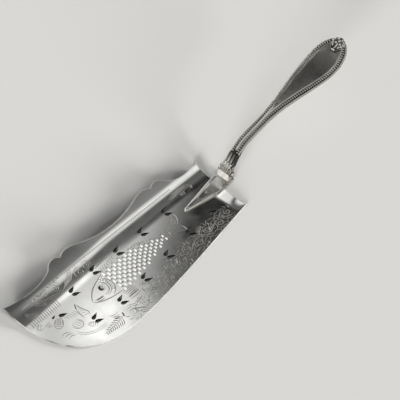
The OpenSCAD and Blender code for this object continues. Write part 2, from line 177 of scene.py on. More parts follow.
class LeafSizes(bpy.types.PropertyGroup):
    """Sizes of the two cast leaves"""
    neck_leaf_to: length(14.5, "Neck leaf tip", "From the heel to the end of the neck leaf's sheath")
    neck_leaf_half_w: length(7, "Neck leaf width", "Half width of the neck leaf at its lobes")
    tip_leaf_len: length(10.5, "Tip leaf length", "Length of the leaf at the handle's tip")
    tip_leaf_half_w: length(5.4, "Tip leaf width", "Half width of that leaf")
    tip_leaf_crown: length(1.2, "Tip leaf crown", "Height of that leaf above the handle")
    leaf_edge_t: length(0.35, "Leaf edge", "Thickness of both leaves at their edges")


class Finishes(bpy.types.PropertyGroup):
    """Colours of the metals and of the floor"""
    sheet_silver: colour("#e6e4de", "Sheet silver", "Polished silver of the blade")
    cut_silver: colour("#c4c1b9", "Cut silver", "Silver in the bright engraved lines")
    shaded_silver: colour("#a5a198", "Shaded silver", "Silver in the engraved lines that have darkened")
    handle_silver: colour("#d3d0c8", "Handle silver", "Worn silver of the handle and tongue")
    # Painted shade: this dark colour also covers the walls of the pierced holes, the handle's neck, the
    # turned-up end of its sunk panel, the neck leaf's sheath and the beads' flanks
    patina_and_shade: colour("#38352e", "Patina", "Darkened silver in hollows")
    floor: colour("#d9d8d5", "Floor", "Pale studio floor")


class StudioSettings(bpy.types.PropertyGroup):
    """Camera and lamps"""
    azimuth: turn(-46.3, "Azimuth", "Direction of the camera round the object")
    elevation: turn(49.8, "Elevation", "Height of the camera above the horizon")
    distance: length(1100, "Distance", "From the camera to the point that it looks at")
    aim_right: FloatProperty(name="Aim right", description="Aim to the right of the heel",
                             default=-12.77 * MM, unit="LENGTH")
    aim_up: FloatProperty(name="Aim up", description="Aim above the heel in the picture",
                          default=-10.08 * MM, unit="LENGTH")
    lens: FloatProperty(name="Lens", description="Focal length", default=147.3, unit="CAMERA")
    panel_height: length(320, "Panel height", "Height of the light panel above the floor")
    key: share(0.7, "Key", "Brightness of the part of the panel that the blade's middle mirrors")
    dip: share(0.14, "Dip", "Loss of brightness where the blade's front mirrors the panel")
    glint: share(0.7, "Glint", "Added brightness farther out, which the cut facets mirror")
    corner: share(0.7, "Corner", "Added brightness where the round front corner mirrors the panel")
    ridge: share(1.0, "Ridge", "Brightness of the part that the turned-up side mirrors")
    room: share(0.06, "Room", "Brightness of the dim room above the object")
    horizon: share(0.4, "Horizon", "Brightness of the room low down, all round the object")
    window: share(0.8, "Window", "Added brightness low down in front, which the neck mirrors")
    floor_light: share(4.3, "Floor light",
                       "Strength of each of the three low lamps that light the floor")


class FishServerSettings(bpy.types.PropertyGroup):
    """All the settings of the fish server"""
    blade: PointerProperty(type=BladeSizes)
    engraving: PointerProperty(type=EngravingSizes)
    handle: PointerProperty(type=HandleSizes)
    leaf: PointerProperty(type=LeafSizes)
    finish: PointerProperty(type=Finishes)
    studio: PointerProperty(type=StudioSettings)


def own_properties(group):
    """The properties that the group itself declares."""
    return [p for p in group.bl_rna.properties if p.identifier not in ("rna_type", "name")]


def plain_values(group):
    """The group's values as plain numbers: lengths in millimetres, angles in radians."""
    values = {}
    for prop in own_properties(group):
        value = getattr(group, prop.identifier)
        in_metres = prop.type == "FLOAT" and prop.unit == "LENGTH"
        values[prop.identifier] = value / MM if in_metres else value
    return SimpleNamespace(**values)


# Meshes

def grid_faces(rows, columns):
    """Quads between neighbouring points of rings: rows along a path, columns round each ring."""
    i, j = np.meshgrid(np.arange(rows - 1), np.arange(columns), indexing="ij")
    k = (j + 1) % columns
    return np.stack([i * columns + j, i * columns + k, (i + 1) * columns + k, (i + 1) * columns + j],
                    axis=-1).reshape(-1, 4)


def carried(rings):
    """Points and faces of closed solids, each a ring carried along a path: rings has the shape
    (solids, rows, columns, 3), and each ring runs anticlockwise for an eye that the path comes to."""
    solids, rows, columns, _ = rings.shape
    start = np.arange(solids)[:, None, None] * rows * columns
    sides = (start + grid_faces(rows, columns)).reshape(-1, 4)
    ring = np.arange(columns)
    caps = np.stack([ring[::-1], (rows - 1) * columns + ring])
    return rings.reshape(-1, 3), [sides, (start + caps).reshape(-1, columns)]


def add_mesh(name, points, face_blocks, blade_len):
    """Object at the origin from points in millimetres from the heel and blocks of equal faces."""
    mesh = bpy.data.meshes.new(name)
    corners = np.concatenate([block.ravel() for block in face_blocks])
    totals = np.concatenate([np.full(len(block), block.shape[1]) for block in face_blocks])
    placed = (points + [blade_len / 2, 0, 0]) * MM
    mesh.vertices.add(len(points))
    mesh.vertices.foreach_set("co", placed.astype(np.float32).ravel())
    mesh.loops.add(len(corners))
    mesh.loops.foreach_set("vertex_index", corners.astype(np.int32))
    mesh.polygons.add(len(totals))
    mesh.polygons.foreach_set("loop_start", (np.cumsum(totals) - totals).astype(np.int32))
    mesh.update(calc_edges=True)
    if mesh.validate():
        raise RuntimeError(f"{name} has faces that don't fit together")
    piece = bpy.data.objects.new(name, mesh)
    bpy.context.scene.collection.objects.link(piece)
    return piece


def settle(piece, cutters):
    """Cuts the piece with each (cutter, operation) in turn and removes the cutters."""
    for cutter, operation in cutters:
        cut = piece.modifiers.new(cutter.name, "BOOLEAN")
        cut.object = cutter
        cut.operation = operation
        cut.solver = "MANIFOLD"
        cut.material_mode = "TRANSFER"
    graph = bpy.context.evaluated_depsgraph_get()
    rough = piece.data
    piece.data = bpy.data.meshes.new_from_object(piece.evaluated_get(graph), depsgraph=graph)
    piece.data.name = piece.name
    piece.modifiers.clear()
    for mesh in [rough] + [cutter.data for cutter, _ in cutters]:
        bpy.data.meshes.remove(mesh)
    if len(piece.data.polygons) == 0:
        raise RuntimeError(f"nothing is left of {piece.name} after its cuts")


def finish_piece(piece, nodes, sharp_degrees):
    """Smooth shading with sharp edges, and the piece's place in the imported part."""
    piece.data.shade_smooth()
    piece.data.set_sharp_from_angle(angle=math.radians(sharp_degrees))
    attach(piece, "root")
    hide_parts(*nodes)
    return piece


def keep_patina_and_shade(piece, hollow):
    """Keeps each point's share of the dark patina colour, from 0 to 1: how deep it lies in the relief,
    and painted shade where the piece adds it.
    """
    # The hollow attribute carries painted shade as well as the patina in hollows
    layer = piece.data.attributes.new("hollow", "FLOAT", "POINT")
    layer.data.foreach_set("value", np.clip(hollow, 0, 1).astype(np.float32).ravel())


# Curves in plan

def step01(t):
    """Smooth step from 0 to 1."""
    u = np.clip(t, 0, 1)
    return u * u * (3 - 2 * u)


def eased(x, first, last, start, end):
    """From one value to another by a smooth step between two places."""
    return start + (end - start) * step01((x - first) / (last - first))


def between(x, first, rise, last, fall):
    """1 between two places and 0 beyond them, with smooth steps over the rise and the fall."""
    return step01((x - first) / rise) * (1 - step01((x - last) / fall))


def cubics(controls, steps):
    """Points of cubic curves of four control points each that follow each other, without the last
    point."""
    p = np.asarray(controls, float)[:, None]
    t = (np.arange(steps) / steps)[None, :, None]
    s = 1 - t
    points = (s ** 3 * p[:, :, 0] + 3 * s * s * t * p[:, :, 1]
              + 3 * s * t * t * p[:, :, 2] + t ** 3 * p[:, :, 3])
    return points.reshape(-1, p.shape[-1])


def through(points, rings):
    """Smooth path through the points: each span blends the slopes at its two ends."""
    p = np.asarray(points, float)
    ends = np.vstack([2 * p[:1] - p[1:2], p, 2 * p[-1:] - p[-2:-1]])
    s = np.linspace(0, len(p) - 1, rings)
    i = np.minimum(s.astype(int), len(p) - 2)
    t = (s - i)[:, None]
    a, b, c, d = ends[i], ends[i + 1], ends[i + 2], ends[i + 3]
    return 0.5 * (2 * b + (c - a) * t + (2 * a - 5 * b + 4 * c - d) * t ** 2
                  + (3 * b - a - 3 * c + d) * t ** 3)


def runs_along(path):
    """Distance of each point from the path's start, along the path."""
    return np.concatenate([[0], np.cumsum(np.linalg.norm(np.diff(path, axis=0), axis=1))])


def left_of(path):
    """Unit vectors to the left of a path's direction, or inwards on an anticlockwise outline."""
    ahead = np.gradient(path, axis=-2)
    ahead /= np.linalg.norm(ahead, axis=-1, keepdims=True)
    return np.stack([-ahead[..., 1], ahead[..., 0]], axis=-1)


def anticlockwise(outline):
    """The outline, turned round where its signed area is below 0."""
    x, y = outline[:, 0], outline[:, 1]
    area = np.sum(x * np.roll(y, -1) - np.roll(x, -1) * y)
    return outline if area > 0 else outline[::-1]


def at_height(plan, z):
    """Points in plan put at their heights."""
    return np.concatenate([plan, z[..., None]], axis=-1)


def inward_of(outline):
    """Unit vectors into a closed anticlockwise outline."""
    closed = np.vstack([outline[-1:], outline, outline[:1]])
    return left_of(closed)[1:-1]


# Blade

def wave_half(b, side, notch_x, ear):
    """Cubic curves of half the wavy edge, from its middle dip to an ear; side is 1 to the heel."""
    peak = b.lobe_reach + 0.6
    ear = np.array(ear)
    mid = np.array([-b.wave_mid, b.dip_reach])
    notch = np.array([notch_x, b.notch_reach])
    inner = notch + [-15.6 * side, 0.4]
    outer = notch + [12 * side, -1.5]
    return [[mid, mid + [10 * side, 0], inner - [7 * side, 2.1], inner],
            [inner, [inner[0] + 6 * side, peak - 0.4], [notch_x - 3 * side, peak], notch],
            [notch, [notch_x + 3 * side, peak], [outer[0] - 3 * side, peak - 0.4], outer],
            [outer, [outer[0] + 8 * side, b.dip_reach - 3.6], ear - [11 * side, 3.2], ear]]


def blade_outline(b):
    """Closed outline in plan: plain side, round front corner, front edge, waves and heel."""
    front = -b.blade_len
    front_ear, heel_ear = (front - b.ear, b.heel_left), (b.ear, b.heel_left)
    plain_ear, widest = (0.3, -b.heel_right), (-b.plain_reach_at, -b.plain_reach)
    plain = [[plain_ear, (plain_ear[0] - 40, plain_ear[1] - 6),
              (widest[0] + 28, widest[1] + 0.7), widest],
             [widest, (widest[0] - 32, widest[1] - 0.8), (front + 4, -27), (front, 3)],
             [(front, 3), (front - 1, 10), (front - 1, b.heel_left - 7), front_ear]]
    to_front = wave_half(b, -1, -b.wave_mid - b.notch_from_mid, front_ear)
    to_heel = wave_half(b, 1, -b.wave_mid + b.notch_from_mid, heel_ear)
    heel = [[heel_ear, (-0.5, b.heel_left - 4.2), (0.3, 12), (0, 5)],
            [(0, 5), (-1.5, -6), (-4, 7 - b.heel_right), plain_ear]]
    curves = plain + [curve[::-1] for curve in to_front[::-1]] + to_heel + heel
    outline = cubics([np.array(curve, float) for curve in curves], 36)
    outline[:, 1] = np.maximum(outline[:, 1], -b.plain_reach)
    return anticlockwise(outline)


def swept_up(run, ease):
    """Rise of a slope that grows evenly to 1 over the ease and then stays: a parabola, then a line."""
    return np.where(run < ease, run ** 2 / (2 * ease), run - ease / 2)


def heel_rise(b, x, y):
    """Lift of the lip at the heel between the tongue and the plain corner: behind a line across the
    blade the slope grows to the curl's angle and stays there, and it fades towards both sides."""
    lip, slant, ease = 11.5, 0.1, 3.0
    tongue_side, plain_side = -5.2, -26.5
    run = np.maximum(x + lip - slant * np.maximum(-8 - y, 0), 0)
    rise = swept_up(run, ease) * math.tan(b.heel_curl)
    return rise * step01((tongue_side - y) / 1.6) * step01((y - plain_side) / 10)


# Distance from the handle's line, slope in degrees and share of the floor's taper
SECTION = ((4.8, 0, 1), (9, 4.6, 1), (10.6, 8, 1), (16.5, 11, 0.25), (17.5, 14, 0), (21.2, 21, 0),
           (22.8, 25.5, 0), (29.7, 27.5, 0), (40, 28, 0))


def section_height(b, x, y):
    """Height over the floor: the slope runs straight between SECTION's places. Their share that isn't
    the floor's follows the ridge, which draws in towards the front. Each span adds its first slope
    times the run, and half of the slope's change times the run squared over the span."""
    mid_floor = -96
    floor = np.clip(-b.floor_taper * (x - mid_floor), -3, 3.5)
    ridge_in = np.interp(x, (-170, -135, -105, -88, -40), (3, 2.9, 1.9, 0.4, 0))
    height = 0 * x
    for (p, first, u), (q, last, w) in zip(SECTION[:-1], SECTION[1:]):
        start = p - u * floor - (1 - u) * ridge_in
        span = q - w * floor - (1 - w) * ridge_in - start
        run = np.clip(y - start, 0, span)
        m, n = math.tan(math.radians(first)), math.tan(math.radians(last))
        height = height + m * run + (n - m) * run ** 2 / (2 * span)
    return height


def top_z(b, xy):
    """Height of the sheet's upper face: thickness, section and the heel's lip."""
    x, y = xy[..., 0], xy[..., 1]
    return b.sheet_t + section_height(b, x, y) + heel_rise(b, x, y)


def sheet_rings(b):
    """The sheet's section carried along X, longer and wider than the blade, with more points where it
    curves. The underside lies the sheet's thickness below the upper face, at a right angle to the
    section, and not under the floor."""
    y = np.concatenate([np.arange(-62, -30, 4), np.arange(-30, -4, 1.3), np.arange(-4, 4, 2),
                        np.arange(4, 36, 0.45)])
    x = np.concatenate([np.arange(-b.blade_len - 20, -15, 3.5), np.arange(-15, 6, 0.7), [10, 20]])
    plan = np.stack(np.meshgrid(x, y, indexing="ij"), axis=-1)
    top = top_z(b, plan)
    low = np.maximum(top - b.sheet_t * np.sqrt(1 + np.gradient(top, y, axis=1) ** 2), 0)
    return np.concatenate([at_height(plan, low), at_height(plan, top)[:, ::-1]], axis=1)[None]


def wall_rings(b, outlines, bevel, inwards):
    """Outlines (solids, points, 2) carried upwards, drawn in or out by the bevel at the sheet's
    upper face: below, at the bevel's foot, just over the face, and above."""
    lead = 0.15
    shift = inwards * (bevel + lead) * np.stack([inward_of(outline) for outline in outlines])
    drawn = outlines + shift
    foot = top_z(b, outlines) - bevel
    head = top_z(b, outlines) + lead
    low, high = np.full_like(foot, -12), np.full_like(foot, 45)
    levels = [(outlines, low), (outlines, foot), (drawn, head), (drawn, high)]
    return np.stack([at_height(plan, z) for plan, z in levels], axis=1)


def comma_outline(b, side, size):
    """A comma: its half width grows as the root of t and falls as a power of 1 - t from the round
    head to the thin tail, on a line that bends as t squared."""
    bend, steps = 1.2, 22
    t = 0.5 - 0.5 * np.cos(np.pi * np.arange(steps + 1) / steps)
    half = 1.44 * b.comma_w * np.sqrt(t) * (1 - t) ** 1.4
    middle = bend * (t * t - 0.25)
    along = b.comma_len * (t - 0.5)
    lower = np.stack([along, middle - half], axis=1)
    upper = np.stack([along, middle + half], axis=1)[-2:0:-1]
    x, y = (np.vstack([lower, upper]) * [size, size * side]).T
    c, s = np.cos(side * b.comma_splay), np.sin(side * b.comma_splay)
    return np.stack([c * x - s * y, s * x + c * y], axis=1)


def hole_outlines(b):
    """Outlines of all the comma-shaped holes: two rows of pairs and two single holes. Each row bends
    as a power of the pair's number, and the longer row ends in a large and a small hole."""
    pairs = 6
    i = np.arange(pairs)
    pitch = (b.blade_len - b.row_start - b.row_end) / (pairs - 1)
    left = np.stack([-b.row_start - i * (pitch + 0.36 * (pairs - 1 - i)),
                     b.left_row + 0.8 * np.maximum(1 - i, 0) - 2 * np.maximum(i - 2.8, 0) ** 2], axis=1)
    k = np.arange(pairs - 1)
    turn_in = np.maximum(k - 2, 0) ** 3
    right = np.stack([-b.row_start - 1 - k * (pitch + 1.9) + 0.35 * turn_in,
                      -b.right_row - 2.6 * k + 0.6 * turn_in], axis=1)
    last_gap = np.array([-1.25, 0.65]) * b.pair_gap / 2
    holes = [(centre + [0, side * b.pair_gap / 2], side, 1.0)
             for centre in np.vstack([left[:-1], right]) for side in (-1, 1)]
    holes += [((0.8 * side - b.single_at, side * b.single_out - 1.4), side, 1.0) for side in (-1, 1)]
    holes += [(left[-1] - last_gap, -1, 1.0), (left[-1] + last_gap, 1, 0.5)]
    return np.stack([anticlockwise(comma_outline(b, side, size)) + centre
                     for centre, side, size in holes])


def round_outline(centre, diameter, points):
    """A circle in plan."""
    a = np.linspace(0, 2 * np.pi, points, endpoint=False)
    return np.array(centre) + diameter / 2 * np.stack([np.cos(a), np.sin(a)], axis=1)


# Engraving: each cut is a path in plan, its width, its lean to one side and its depth as a factor

FISH_BACK = ((-127, -10.2), (-125, -7), (-121, -3.2), (-116, -0.6), (-108, 2.2), (-98, 4), (-88, 4.3),
             (-80, 3.1), (-70, 0.2), (-62, -2.6), (-55, -3.6), (-51, -2.6))
FISH_BELLY = ((-127, -10.6), (-124, -12.8), (-120, -14.6), (-114, -16.1), (-105, -17), (-97, -16.9),
              (-90, -15.5), (-82, -13.3), (-75, -11.8), (-68, -9.9), (-60, -7.7), (-54, -7), (-50, -7.9))


def stroke(points, width, rings=14, lean=0.0, deep=1.0):
    """A cut along a smooth path through the points."""
    return through(points, rings), width, lean, deep


def arc(x, y, rx, ry, first, last, width, rings=12, lean=0.0, deep=1.0, tilt=0.0):
    """Part of an ellipse between two angles in degrees; tilt turns the ellipse."""
    a = np.radians(np.linspace(first, last, rings))
    c, s = math.cos(math.radians(tilt)), math.sin(math.radians(tilt))
    u, v = rx * np.cos(a), ry * np.sin(a)
    return np.stack([x + c * u - s * v, y + s * u + c * v], axis=1), width, lean, deep


def hatched(x, y, rx, ry, tilt, step, first, last, width):
    """Straight cuts across a tilted ellipse, a step apart, between two shares of its long reach."""
    turned = np.radians(tilt)
    ahead = np.array([math.cos(turned), math.sin(turned)])
    across = np.array([-ahead[1], ahead[0]])
    cuts = []
    for at in np.arange(first * rx, last * rx, step):
        reach = 0.86 * ry * math.sqrt(max(1 - (at / rx) ** 2, 0.0))
        middle = np.array([x, y]) + at * ahead
        cuts.append(stroke((middle - reach * across, middle, middle + reach * across), width, 9))
    return cuts


def spiral(x, y, r, first, turns, width, rings=26):
    """A scroll that draws in from radius r as it turns; turns below 0 go clockwise."""
    t = np.linspace(0, 1, rings)
    a = math.radians(first) + 2 * np.pi * turns * t
    shrink = r * (1 - 0.86 * t ** 0.9)
    return np.stack([x + shrink * np.cos(a), y + shrink * np.sin(a)], axis=1), width, 0.0, 1.0


def fan(x, y, r, first, last, count, reach, curl, width):
    """Leaf cuts that leave a circle between two angles and curl to one side."""
    cuts = []
    for a in np.radians(np.linspace(first, last, count)):
        t = np.linspace(0, 1, 9)
        out, turned = r + reach * t, a + curl * t * t
        path = np.stack([x + out * np.cos(turned), y + out * np.sin(turned)], axis=1)
        cuts.append((path, width, 0.0, 1.0))
    return cuts


def rows(starts, ends, count, width, bend=0.0, lean=0.0):
    """Parallel cuts between two lines of points, each bent sideways by the same amount."""
    share_along = np.linspace(0, 1, count)[:, None]
    a = starts[0] + share_along * (np.array(starts[1]) - starts[0])
    z = ends[0] + share_along * (np.array(ends[1]) - ends[0])
    middle = (a + z) / 2 + bend * np.stack([-(z - a)[:, 1], (z - a)[:, 0]], axis=1)
    return [stroke((p, q, r), width, 9, lean) for p, q, r in zip(a, middle, z)]


def fish_cuts(e):
    """The fish: shaded outline and head, tarnished eye, bright fins and tail."""
    shaded = [stroke(FISH_BACK[:5], 0.9 * e.bold, 22), stroke(FISH_BELLY[:5], 0.9 * e.bold, 22),
              stroke(FISH_BELLY[4:6], e.fine, 12)]
    # Mouth, rings round the eye and gill covers
    shaded += [stroke(((-125.4, -10.2), (-122, -10.6), (-118.6, -10.9)), 1.2 * e.line),
               stroke(((-124.4, -12), (-121.8, -12.9), (-119, -12.9)), e.line),
               arc(-115.6, -6.2, 4.4, 5.2, -112, 70, e.line, 24),
               arc(-115.4, -6.2, 5.6, 6.6, -100, 60, e.fine, 24),
               stroke(((-112.6, 0.8), (-108.4, -2.6), (-107.2, -8), (-109.4, -12.6),
                       (-113.6, -15.5)), e.line, 26)]
    shaded += rows(((-110.6, -0.8), (-110.4, -12.6)), ((-108.4, -3), (-108.8, -11.2)), 7, e.fine, 0.1)
    # Eye: a dark crescent filled from its hollow side, which stays grey
    shaded += [arc(-115.4, -5.8, 2, 2.4, 0, 345, e.fine, 26),
               arc(-115.2, -5.7, 0.8, 1, -65, 80, 0.9, 12)]
    deep = [arc(-115.5, -5.8, 1.2, 1.4, 70, 305, 1.2, 16, 0.0, 1.6),
            arc(-115.7, -5.9, 0.55, 0.65, 60, 315, 0.6, 14, 0.0, 1.6)]
    bright = [stroke(((-124.6, -11.3), (-121.8, -11.8), (-119, -11.9)), e.bold, 12, 0.5)]
    # Narrow tail root with its two bars, and the forked tail with its rays
    bright += [stroke(((-60.4, -3.4), (-60, -5), (-60.4, -6.6)), e.bold, 9, -0.5),
               stroke(((-54, -3), (-53.6, -5.2), (-54, -7)), 1.2 * e.bold, 9, -0.5),
               stroke(((-61.5, -2.8), (-58, -2.7), (-55.2, -3)), e.line, 9, 0.4),
               stroke(((-63, -7.6), (-58, -7.2), (-54.6, -7.4)), e.line, 12, 0.4)]
    shaded += [stroke(((-61, -8.5), (-56, -8.2), (-51, -8.6)), e.line, 12)]
    bright += [stroke(((-51.5, -2.9), (-46.6, 0.2), (-40.9, 5.4)), e.line, 18),
               stroke(((-40.9, 5.4), (-40.4, 2), (-42, -1.6), (-44.9, -5)), e.line, 18),
               stroke(((-44.9, -5), (-43.3, -8), (-43.1, -12.2)), e.line, 14),
               stroke(((-51, -7.6), (-47.4, -9.7), (-43.1, -12.2)), e.line, 14)]
    bright += rows(((-50, -3.4), (-48.3, -5.2)), ((-42, 4), (-41.6, 0)), 4, e.fine, -0.05)
    bright += rows(((-49.6, -6.9), (-48, -5.6)), ((-44.4, -10.9), (-44, -8)), 3, e.fine, 0.05)
    # Fins
    bright += [stroke(((-107.6, 8), (-98.6, 9), (-90, 10)), 1.1, 20, 0.6),
               stroke(((-81, 3.9), (-75.5, 4), (-69.5, 1.4)), e.fine, 12),
               stroke(((-108.4, -24), (-104, -24.2), (-99.8, -23.9)), e.broad, 16, 0.4)]
    shaded += rows(((-105.6, 3), (-94, 5)), ((-104.4, 6.8), (-93, 8.2)), 7, e.fine, 0.1)
    shaded += rows(((-79.6, 3), (-71.4, 0.9)), ((-78, 4.2), (-70.4, 2)), 5, e.fine, 0.1)
    shaded += rows(((-108.6, -18.2), (-107.8, -22.4)), ((-99.5, -18.2), (-99.2, -22.2)), 4, e.line, 0.03)
    shaded += [stroke(((-108.6, -25.5), (-104, -25.8), (-99.6, -25.4)), e.line, 14)]
    return shaded, deep, bright


def facet(e, x, y, rx, ry, width):
    """A deep slanted cut: part of a narrow ellipse whose hollow side faces the head."""
    return arc(x, y, rx, ry, -68, 68, width, 11, -0.78, e.scale_deep)


def scale_cuts(e):
    """Scales: broad facets on a staggered lattice that shrinks towards the tail, between the lines of
    the back and the belly, and the lines of the scales' rims beside them."""
    back, belly = np.array(FISH_BACK), np.array(FISH_BELLY)
    # Bright marks over the eye and behind the jaw
    marks = ((-114.9, -0.9), (-113.2, -0.2), (-111.6, -0.9), (-114.2, -2.3), (-112.5, -2),
             (-110.9, -2.8), (-111.4, 0.8), (-109.7, -0.2), (-111.7, -12))
    facets = [facet(e, x, y, 0.25, 0.6, 0.95) for x, y in marks]
    rims = []
    for k, t in enumerate(np.linspace(0, 1, 20)):
        x = -107 + 48 * t
        pitch = 4.5 - 1.2 * t
        top, bottom = np.interp(x, back[:, 0], back[:, 1]), np.interp(x, belly[:, 0], belly[:, 1])
        middle = (top + bottom) / 2
        offsets = (np.arange(-3, 4) + 0.5 * (k % 2)) * pitch
        inside = offsets[np.abs(offsets) < (top - bottom) / 2 - 0.2]
        width = e.scale_cut * (1 - 0.2 * t)
        facets += [facet(e, x - 0.1 * y, middle + y, 0.4, 0.44 * pitch, width) for y in inside]
        rims += [arc(x + 0.9 - 0.1 * y, middle + y, 1.2, 0.48 * pitch, -52, 52, e.fine, 9)
                 for y in inside]
    return facets, rims


def front_cuts(e):
    """Fringe, leaves, shells, plume, bud and fern on the front of the blade."""
    # Long strokes across the edge of the flat floor
    shaded = rows(((-165.8, 7), (-142.2, 9.4)), ((-166.4, 1.2), (-143.2, 2.2)), 15, e.line, 0.04)
    # Round leaf and fan leaf in fine outline
    shaded += [arc(-163.6, -0.6, 2.2, 2, -20, 310, e.fine, 20)]
    shaded += hatched(-163.6, -0.6, 2.2, 2, -45, 1.3, -0.5, 0.6, 0.8 * e.fine)
    shaded += rows(((-161.4, -2.6), (-160.6, -4.6)), ((-156.4, -2), (-156.8, -5.2)),
                   3, 0.9 * e.fine, 0.08)
    # Cross-hatched oval shell, round shell and bud
    shaded += [arc(-153.2, -6.6, 4.2, 2.9, 20, 368, e.fine, 30, tilt=47),
               arc(-145.2, -15.7, 3.5, 3.3, 95, 440, e.fine, 28),
               arc(-138.7, -22.5, 2.8, 1.7, -40, 290, e.fine, 22, tilt=-46)]
    shaded += hatched(-153.2, -6.6, 4.2, 2.9, 47, 1.4, -0.55, 0.95, 0.8 * e.fine)
    shaded += hatched(-152.6, -6, 2.9, 3.4, -43, 1.4, -0.7, 0.8, 0.8 * e.fine)
    shaded += hatched(-145.2, -15.7, 3.5, 3.3, 20, 1.7, -0.7, 0.8, 0.8 * e.fine)
    shaded += hatched(-138.7, -22.5, 2.8, 1.7, -46, 1.4, -0.5, 0.6, 0.8 * e.fine)
    shaded += rows(((-147.4, -5.4), (-140.4, -6)), ((-146, -8.8), (-139.8, -11.4)), 5, 0.8 * e.fine, 0.1)
    # Plume: two outlines that part from a strong start, with barbs between them
    deep = [stroke(((-136.5, -2.8), (-137.4, -4.8), (-138.4, -6.8)), e.line, 14, 0.0, 1.4)]
    shaded += [stroke(((-136.1, -3), (-135.1, -8.8), (-133.9, -12.8), (-134.6, -15.7)), e.line, 22),
               stroke(((-138.3, -6.6), (-138.9, -11.3), (-138.9, -15)), e.line, 18)]
    shaded += rows(((-137, -5), (-138.2, -13.4)), ((-135.9, -6.4), (-135, -14.4)), 5, 0.8 * e.fine, 0.08)
    # Wavelets and the sweeping border under the shells
    shaded += [stroke(((-159 + 0.9 * k, -15.4 - 2.2 * k), (-156 + 0.9 * k, -14.8 - 2.3 * k),
                       (-153 + 0.8 * k, -16.6 - 2.2 * k)), e.fine, 14) for k in range(3)]
    shaded += [stroke(((-150.2 - 0.9 * k, -18.4 - 0.9 * k), (-147.6 - 0.7 * k, -22.8 - 1.1 * k),
                       (-144 - 0.4 * k, -25.6 - 1.3 * k), (-140 - 0.2 * k, -27 - 1.4 * k),
                       (-132 - 0.2 * k, -28 - 1.4 * k)), 0.8 * e.fine, 24) for k in range(2)]
    # Fern: a rib with slanting veins on both sides, and the leaf above it
    shaded += [stroke(((-138.8, -33.2), (-132.9, -33.1), (-126.6, -32.4), (-120.6, -31.4)), e.fine, 24)]
    shaded += rows(((-137, -33.6), (-123, -32.2)), ((-138, -35.2), (-125.6, -37.4)), 10, e.line, 0.1)
    shaded += rows(((-134.8, -32.8), (-122.4, -31.7)), ((-136, -31.4), (-125.4, -28.8)), 8, e.line, -0.1)
    shaded += rows(((-128, -25), (-126.6, -28.4)), ((-121, -26.8), (-122.8, -30.8)), 3, e.fine, -0.12)
    deep += [stroke(((-119.9, -29.1), (-120.3, -30.6), (-120.9, -32.2)), e.bold, 12, 0.0, 1.4)]
    return shaded, deep


